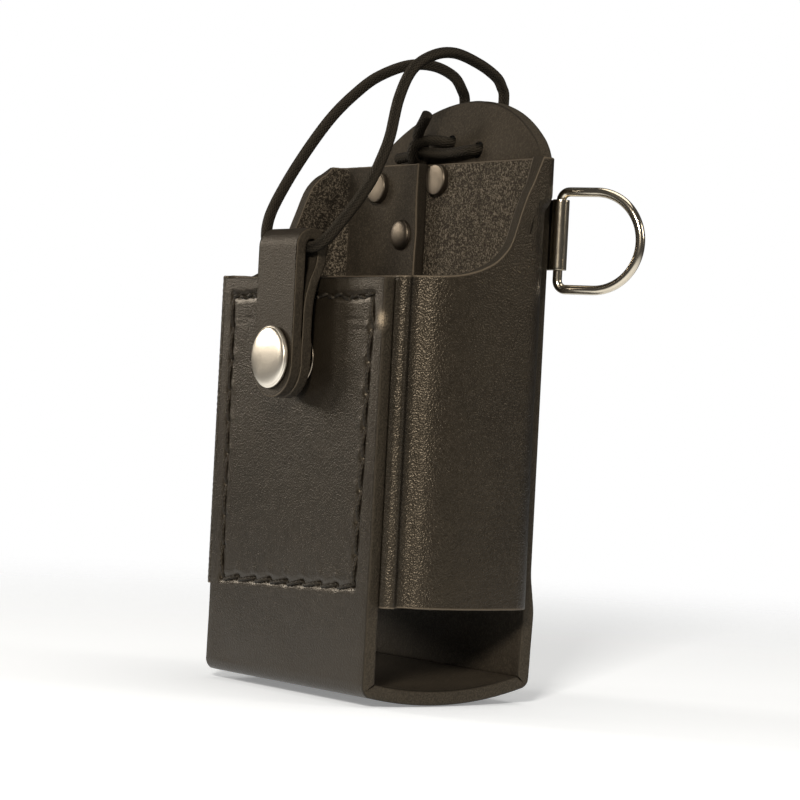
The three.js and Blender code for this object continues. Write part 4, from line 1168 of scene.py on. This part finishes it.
def make_belt_loop():
    """The flesh side is the back's face plus the bow at each height. The grain side is that line moved
    by the leather's thickness along its own normal, and the ends are rounded at their corners."""
    half, ramp = 25.0, 6.5
    face = BACK_Y + GAP
    heights = np.array([-half - ramp, -half - ramp * 0.65, -half - 1, -half + 6, 0, half - 6, half + 1,
                        half + ramp * 0.65, half + ramp]) + BELT_MIDDLE
    depths = np.array([0, 0.2, 0.75, 1, 1, 1, 0.75, 0.2, 0]) * BELT_GAP
    z = np.linspace(LOOP_TOP, LOOP_BOTTOM, 130)
    bow = np.where((z > heights[0]) & (z < heights[-1]), eased(z, heights, depths), 0)
    x = np.linspace(LOOP_X - LOOP_WIDTH / 2, LOOP_X + LOOP_WIDTH / 2, 42)
    slope = np.gradient(bow, z)
    flesh = np.stack([face + bow, z], 1)
    normal = unit(np.stack([np.ones_like(z), -slope], 1))
    grain = flesh + normal * LOOP_LEATHER
    grids = [sheet_grid(x, side) for side in (grain, flesh)]
    corner_x = np.abs(grids[0][..., 0] - LOOP_X) / (LOOP_WIDTH / 2)
    from_middle = np.abs(grids[0][..., 2] - (LOOP_TOP + LOOP_BOTTOM) / 2)
    end = np.clip(from_middle / ((LOOP_TOP - LOOP_BOTTOM) / 2), 0, 1)
    pull = 4.0 * np.clip(corner_x, 0, 1) ** 6 * np.clip((end - 0.8) / 0.2, 0, 1)
    for grid in grids:
        grid[..., 2] -= np.sign(grid[..., 2] - BELT_MIDDLE) * pull
    grids[0][..., 1] += smooth_noise(grids[0], 14, 12) * 0.12
    shell("belt_loop_leather", grids[0], grids[1], 0.4, 0.3, material=wrap_hide, slot="case_leather",
          body="root", nodes=("belt_loop",))


make_belt_loop()

# %% [markdown]
# ## The snap tab
# A strip is folded over the cord and its two layers are held by the snap. In profile it is an eye at
# the top and two flat layers below, and both ends are rounded to the tab's own half width.

# %% Tab
TAB_X, TAB_WIDTH, TAB_LEATHER = 0.8, 17.2, 2.8
TAB_EYE, TAB_EYE_HEIGHT, TAB_BOTTOM = 3.7, 112.4, 74.2
TAB_FRONT_STEPS, TAB_REAR_STEPS = 56, 33
TAB_TIP = 16  # how far up from its end the tab begins to round
SNAP_HEIGHT = 84.4
tab_rear = FRONT_Y - 2.3
tab_front = tab_rear - 2 * TAB_LEATHER - 0.2
eye_y = tab_front + TAB_LEATHER + TAB_EYE / 2


def tab_profile():
    """The strip's outside and inside in depth and height, from the front end over to the rear end."""
    def side(radius, front_y, rear_y):
        """One side: up the front, half a circle round the eye, a curve back in, and down the rear."""
        front_z = np.linspace(TAB_BOTTOM, TAB_EYE_HEIGHT, TAB_FRONT_STEPS, endpoint=False)
        turn = np.linspace(0, math.pi, 22)
        fold = np.stack([eye_y - radius * np.cos(turn), TAB_EYE_HEIGHT + radius * np.sin(turn)], 1)
        start = eye_y + radius
        knots = [[start, TAB_EYE_HEIGHT], [start - 0.5, TAB_EYE_HEIGHT - 4.5],
                 [(start + rear_y) / 2 - 0.3, TAB_EYE_HEIGHT - 8.5], [rear_y + 0.3, TAB_EYE_HEIGHT - 13],
                 [rear_y, TAB_EYE_HEIGHT - 17]]
        bend = catmull(knots, np.linspace(0, 1, 28))[1:]
        rear_z = np.linspace(TAB_EYE_HEIGHT - 17, TAB_BOTTOM, TAB_REAR_STEPS + 1)[1:]
        return np.concatenate([np.stack([np.full(TAB_FRONT_STEPS, front_y), front_z], 1), fold, bend,
                               np.stack([np.full(TAB_REAR_STEPS, rear_y), rear_z], 1)])

    outside = side(TAB_EYE / 2 + TAB_LEATHER, tab_front, tab_rear)
    inside = side(TAB_EYE / 2, tab_front + TAB_LEATHER, tab_rear - TAB_LEATHER)
    return outside, inside


def make_tab():
    """The profile across the tab's width. The lowest points rise by half the width less the root of its
    square minus the square of the distance across, which rounds both ends to half circles."""
    half = TAB_WIDTH / 2
    across = np.sin(np.linspace(-math.pi / 2, math.pi / 2, 34)) * half
    x = TAB_X + across
    outside, inside = tab_profile()
    grids = []
    lift = (half - np.sqrt(np.clip(half**2 - across**2, 0, None)))[None, :]
    for side in (outside, inside):
        grid = sheet_grid(x, side)
        grid[..., 2] += lift * np.clip((TAB_BOTTOM + TAB_TIP - grid[..., 2]) / TAB_TIP, 0, 1)
        grids.append(grid)
    # The snap presses the front layer in round itself.
    dent = bell(np.hypot(grids[0][..., 0] - TAB_X, grids[0][..., 2] - SNAP_HEIGHT), 8.6)
    front_layer = (np.arange(len(outside)) < 50)[:, None]
    grids[0][..., 1] += dent * front_layer * 0.16
    shell("tab_leather", grids[0], grids[1], 0.34, 0.3, material=tab_hide, slot="tab_leather", body="tab",
          nodes=("snap_tab",))


make_tab()

# %% [markdown]
# ## Turned metal
# Snap parts and rivets are pressed discs, so each is a profile turned about its own axis. A profile is
# a short list of radius and height, with arcs where the metal is rolled. The disc is shaded smooth,
# apart from the edges where two faces meet at a steep angle, which are marked sharp.

# %% Turned pieces
SIDES = 72


def turned(name, profile, place, material, slot, body, nodes, facing=-1, dent=0.0):
    """A closed solid of revolution about Y. Heights in the profile run the way that facing says."""
    profile = np.array(profile, float)
    turn = np.linspace(0, 2 * np.pi, SIDES, endpoint=False)
    radius = np.maximum(profile[:, :1], 0.004)
    x = place[0] + radius * np.cos(turn)
    z = place[2] + radius * np.sin(turn)
    y = place[1] + facing * profile[:, 1:] * np.ones_like(turn)
    points = np.stack([x, y, z], -1)
    if dent:
        points[..., 1] += smooth_noise(points, 2.6, 21) * dent
    rows = len(profile)
    quads = np.concatenate([grid_faces(rows, SIDES, close_columns=True), *end_fans(rows, SIDES)])
    flat = np.concatenate([points.reshape(-1, 3), [points[0].mean(0)], [points[-1].mean(0)]])
    return make_piece(name, flat, quads, material, slot, body, nodes=nodes, sharp=38)


def dome(radius, rim, crown, steps=14):
    """A pressed cap: a rolled rim of height rim, and a shallow crown as part of an ellipse."""
    share = np.linspace(0, 1, steps)
    crown_points = [(radius * 0.94 * math.cos(a), rim + (crown - rim) * math.sin(a))
                    for a in share * math.pi / 2]
    roll = [(radius - 0.35 + 0.35 * math.sin(a), rim * 0.5 - rim * 0.42 * math.cos(a))
            for a in share[::3] * math.pi]
    return roll + crown_points


def flat_head(radius, rim):
    """A pressed disc: straight sides, a rounded shoulder and a face that is nearly flat."""
    shoulder = [(radius - 0.45 + 0.45 * math.cos(a), rim - 0.45 + 0.45 * math.sin(a))
                for a in np.linspace(0, math.pi / 2, 7)]
    face = [(radius * 0.6, rim + 0.07), (radius * 0.3, rim + 0.09)]
    return [(radius - 0.1, 0.0), (radius, 0.12)] + shoulder + face


def make_snap():
    """Four discs on one axis: the cap and the socket ride on the tab, the stud and its eyelet stay."""
    cap = [(0, 0), (6.5, 0)] + dome(7.9, 0.95, 2.0)
    turned("snap_cap_shell", cap, (TAB_X, tab_front - GAP, SNAP_HEIGHT), cap_nickel, "bright_nickel", "tab",
           ("snap_cap",), dent=0.004)
    socket = [(2.1, 0), (6.3, 0), (6.6, 0.1), (6.7, 0.35), (6.5, 0.6), (5.2, 0.8), (4.8, 1.05), (4.4, 1.15),
              (4.05, 1.0), (3.8, 0.5), (2.1, 0.4)]
    turned("snap_socket_ring", socket, (TAB_X, tab_rear + GAP, SNAP_HEIGHT), dark_nickel, "dark_nickel",
           "tab", ("snap_socket",), facing=1)
    stud = [(0, 0), (6.5, 0), (6.7, 0.12), (6.6, 0.3), (5.9, 0.5), (3.4, 0.6), (2.9, 0.75), (2.2, 1.0),
            (2.5, 1.3), (2.4, 1.55), (1.6, 1.75), (0, 1.78)]
    turned("snap_stud_base", stud, (TAB_X, FRONT_Y - GAP + 0.3, SNAP_HEIGHT), dark_nickel, "bright_nickel",
           "root", ("snap_stud",))
    eyelet = [(2.6, 0), (5.6, 0), (5.9, 0.2), (5.7, 0.55), (4.0, 0.75), (2.9, 0.6), (2.6, 0.4)]
    turned("snap_eyelet_ring", eyelet, (TAB_X, wrap_front + WRAP_LEATHER + 0.1, SNAP_HEIGHT), rivet_nickel,
           "bright_nickel", "root", ("snap_eyelet",), facing=1)


RIVET_RADIUS = 4.15


def make_rivets():
    """Inside heads are flat with a rounded shoulder, apart from the domed middle one. Outside ones are
    low domes."""
    base = [(0, 0), (3.5, 0)]
    for name, x in RIVET_X.items():
        z = RIVET_Z[name]
        single = name.endswith("right")
        face = (wrap_back if single else flap_outer) - WRAP_LEATHER
        domed = name == "middle"
        head = dome(RIVET_RADIUS, 0.8, 1.9) if domed else flat_head(RIVET_RADIUS, 1.7)
        sink = 0.95 if domed else 0.1
        turned(f"rivet_head_{name}", base + head, (x, face + sink - 0.05, z), rivet_nickel,
               "bright_nickel", "root", (f"rivet_cap_{name}",), dent=0.03)
        turned(f"rivet_back_{name}", base + dome(RIVET_RADIUS, 0.5, 1.15),
               (x, BACK_Y + GAP + LOOP_LEATHER - 0.02, z), rivet_nickel, "bright_nickel", "root",
               (f"rivet_post_{name}",), facing=1, dent=0.02)


make_snap()
make_rivets()

# %% [markdown]
# ## Dee rings and their clips
# A ring is wire bent to a straight bar, two tight corners and a round bow. Its clip is sheet metal
# folded round the bar, with its legs riveted flat behind the strap. The ring swings on the bar.

# %% Dee rings
DEE_WIRE, DEE_INSIDE, DEE_REACH, DEE_BEND = 2.4, 22.3, 23.5, 2.3
DEE_HEIGHT, DEE_SWING = 117.6, math.radians(26)
DEE_BAR = HALF_STRAP + 2.6
DEE_SIDES = 28
CLIP_SHEET, CLIP_LENGTH, CLIP_TOP, CLIP_LEG = 0.7, 17.8, 127.9, 9.1
PIN_X = HALF_STRAP - 3.3
leg_plane = BACK_Y + GAP + CLIP_SHEET + 0.15


def dee_line():
    """The ring's centreline in its own plane, (out, up), as a closed run of lines and arcs."""
    half = (DEE_INSIDE + DEE_WIRE) / 2
    reach = DEE_REACH - DEE_WIRE / 2
    start = reach - half
    turn = np.linspace(0, math.pi / 2, 10)
    bar = np.stack([np.zeros(14), np.linspace(-half + DEE_BEND, half - DEE_BEND, 14)], 1)
    upper = np.stack([DEE_BEND - DEE_BEND * np.cos(turn), half - DEE_BEND + DEE_BEND * np.sin(turn)], 1)
    bow_turn = np.linspace(math.pi / 2, -math.pi / 2, 48)
    bow = np.stack([start + half * np.cos(bow_turn), half * np.sin(bow_turn)], 1)
    lower = upper[::-1] * [1, -1]
    return even(np.concatenate([bar[:-1], upper, bow, lower[:-1]]), 0.42, closed=True)


def make_dee(side):
    """The ring is a circle carried round its line, turned about the bar by the swing. The clip is a
    sheet between two lines in plan, the outer one a sheet's thickness along the inner one's normal."""
    word = "right" if side > 0 else "left"
    line = dee_line()
    ahead = unit(np.roll(line, -1, axis=0) - np.roll(line, 1, axis=0))
    normal = np.stack([ahead[:, 1], -ahead[:, 0]], 1)
    turn = np.linspace(0, 2 * np.pi, DEE_SIDES, endpoint=False)
    flat = line[:, None] + normal[:, None] * np.cos(turn)[None, :, None] * DEE_WIRE / 2
    depth = np.sin(turn)[None, :] * DEE_WIRE / 2 * np.ones((len(line), 1))
    c, s = math.cos(DEE_SWING), math.sin(DEE_SWING)
    x = side * (flat[..., 0] * c - depth * s) + side * DEE_BAR
    y = flat[..., 0] * s + depth * c + leg_plane
    points = np.stack([x, y, flat[..., 1] + DEE_HEIGHT], -1)
    make_piece(f"dee_wire_{word}", points, grid_faces(len(line), DEE_SIDES, True, True), bright_nickel,
               "bright_nickel", f"dee_{word}", nodes=(f"dee_ring_{word}",))

    # The clip in plan, from the end of one leg round the bar to the end of the other.
    clear = DEE_WIRE / 2 + 0.25
    barrel = np.linspace(math.pi * 0.86, -math.pi * 0.86, 40)
    bend = np.stack([clear * np.cos(barrel), clear * np.sin(barrel)], 1)
    leg_x = np.linspace(-CLIP_LEG, -clear * 1.5, 14)
    inside_plan = np.concatenate([np.stack([leg_x, np.full(14, 0.15)], 1), bend,
                                  np.stack([leg_x[::-1], np.full(14, -0.15)], 1)])
    inside_plan = even(catmull(inside_plan, np.linspace(0, 1, 400)), 0.28)
    ahead = unit(np.gradient(inside_plan, axis=0))
    out = np.stack([-ahead[:, 1], ahead[:, 0]], 1)
    outside_plan = inside_plan + out * CLIP_SHEET
    z = np.linspace(CLIP_TOP, CLIP_TOP - CLIP_LENGTH, 26)
    grids = []
    for plan in (outside_plan, inside_plan):
        grids.append(np.stack([np.repeat(side * (plan[None, :, 0] + DEE_BAR), len(z), 0),
                               np.repeat(plan[None, :, 1] + leg_plane, len(z), 0),
                               np.repeat(z[:, None], len(plan), 1)], -1))
    shell(f"dee_clip_sheet_{word}", grids[0], grids[1], 0.12, 0.0, material=bright_nickel,
          slot="bright_nickel", body="root", nodes=(f"dee_clip_{word}",))
    pin_place = (side * PIN_X, leg_plane + 0.85, CLIP_TOP - CLIP_LENGTH / 2)
    turned(f"dee_pin_{word}", [(0, 0), (2.1, 0)] + dome(2.7, 0.5, 1.1), pin_place, rivet_nickel,
           "bright_nickel", "root", (f"dee_rivet_{word}",), facing=1)


for side in (-1, 1):
    make_dee(side)

# %% [markdown]
# ## Stitches
# Thread is a twist of two plies. Each stitch dives into its hole, rises over the leather, slants
# across to the next hole and dives again, so the whole line is one path with a wave in it.

# %% Stitches
THREAD = 1.05


def stitch_path(depth_y, outward_sign, lift, shift):
    """A closed line through the holes: its height is a half wave between each pair. Stitches slant
    inwards down the sides, rise to the right along the bottom, and zigzag along the top."""
    following = np.roll(stitch_holes, -1, axis=0)
    share = np.linspace(0, 1, 14, endpoint=False)
    start, end = stitch_holes[:, None], following[:, None]
    flat = start + (end - start) * share[None, :, None]
    along = unit(end - start)
    across = np.stack([along[..., 1], -along[..., 0]], -1)
    low = stitch_holes[:, 1] < STITCH_BOTTOM + 2
    high = stitch_holes[:, 1] > STITCH_TOP - 1.5
    turns = np.where(high, np.where(np.arange(len(stitch_holes)) % 2, 1.5, -1.5), np.where(low, -1.5, 1.0))
    flat = flat + across * (share - 0.35)[None, :, None] * turns[:, None, None] * shift
    wave = np.sin(np.pi * share) ** 0.55
    height = -1.0 + (lift + 1.0) * wave
    y = depth_y + outward_sign * height[None, :] * np.ones((len(stitch_holes), 1))
    return np.stack([flat[..., 0], y, flat[..., 1]], -1).reshape(-1, 3)


def twist(turn, length):
    """Two plies: the section is pinched along two lines that wind round the thread."""
    return 0.085 * np.cos(2 * (turn - length * 2.6)) - 0.04


STITCH_LINES = (("stitches_front", FRONT_Y + 0.2, -1, 0.22, "stitch_thread_front"),
                ("stitches_inside", wrap_front + WRAP_LEATHER, 1, 0.35, "stitch_thread_back"))


def make_stitches():
    """A thin tube of two plies along each line of stitches, in front and inside."""
    for name, depth, sign, lift, node in STITCH_LINES:
        path = stitch_path(depth, sign, lift, 0.7)
        path = even(np.concatenate([path, path[:1]]), 0.28)[:-2]
        tube_piece(name, path, THREAD, 10, relief=twist, material=waxed_thread, slot="waxed_thread",
                   body="root", nodes=(node,))


make_stitches()

# %% [markdown]
# ## Floor, light and the closing lines
# A pale floor fades into a pale background, so it has no horizon. There are five soft lamps. The key
# is at the far front left, and a weaker front lamp beside it fills the panel. The side lamp, at the
# front right, puts the long highlight on the body's side. A back lamp lights the rear, and a broad
# one hangs overhead. Black leather shows mostly what it reflects, so their size matters as much as
# their power.


# %% Studio
FADE_START, FADE_END = 0.12, 0.55  # metres from the middle of the floor


def make_floor():
    """A square that turns clear with distance from its middle: the root of x squared plus y squared."""
    g = Finish("floor")
    x, y = g.first_two(g.place)
    away = (x * x + y * y).math("SQRT")
    g.finish(Base_Color=colour(0.83, 0.90, 1.0), Roughness=0.8, Emission_Color=colour(1.0, 1.0, 1.0),
             Emission_Strength=0.24, Alpha=1 - away.step(FADE_START, FADE_END))
    mesh = bpy.data.meshes.new("floor")
    half, z = 2.0, CAD_BOX[0][2] - 0.0003
    corners = [(-half, -half, z), (half, -half, z), (half, half, z), (-half, half, z)]
    mesh.from_pydata(corners, [], [(0, 1, 2, 3)])
    mesh.materials.append(g.material)
    floor = bpy.data.objects.new("floor", mesh)
    bpy.context.collection.objects.link(floor)


WARM_LIGHT = (1.0, 0.915, 0.80)
# Name, place, target, size and power. The order is the order in which they are made.
LAMPS = (("key", (-1.06, -0.62, 0.36), (0, 0, 0), 0.36, 5.4),
         ("front", (-0.66, -0.92, 0.26), (0, 0, 0), 0.24, 1.2),
         ("side", (0.80, -0.84, 0.44), (0, 0, 0.05), 0.18, 15),
         ("back", (0.95, 0.75, 0.45), (0, 0, 0), 0.40, 3),
         ("top", (0.1, 0.1, 1.2), (0, 0, 0), 0.9, 6.5))


def make_light(name, place, target, size, power):
    """A square lamp whose back points away from its target."""
    data = bpy.data.lights.new(name, "AREA")
    data.size = size
    data.energy = power
    data.color = WARM_LIGHT
    light = bpy.data.objects.new(name, data)
    bpy.context.collection.objects.link(light)
    back = unit(np.array(place, float) - np.array(target, float))
    right = unit(np.cross([0, 0, 1], back))
    up = np.cross(back, right)
    set_axes(light, right, up, back, place)


def make_world():
    """White to the camera's own rays, and a faint warm glow to every other ray."""
    world = bpy.data.worlds.new("world")
    bpy.context.scene.world = world
    g = Graph(world)
    glow = g.tree.nodes["Background"]
    g.feed(glow.inputs["Color"], (1.0, 0.98, 0.95, 1.0))
    g.feed(glow.inputs["Strength"], 0.06)
    camera_ray = g.node("ShaderNodeLightPath", output="Is Camera Ray")
    white = g.node("ShaderNodeBackground", None, {"Color": (1.0, 1.0, 1.0, 1.0), "Strength": 1.0})
    sky = g.node("ShaderNodeMixShader", None, {0: camera_ray, 1: Value(g, glow.outputs[0]), 2: white})
    g.feed(g.tree.nodes["World Output"].inputs["Surface"], sky)


bpy.context.scene.view_settings.view_transform = "Standard"
make_floor()
make_world()
for lamp in LAMPS:
    make_light(*lamp)
print("lamps:", len(LAMPS))
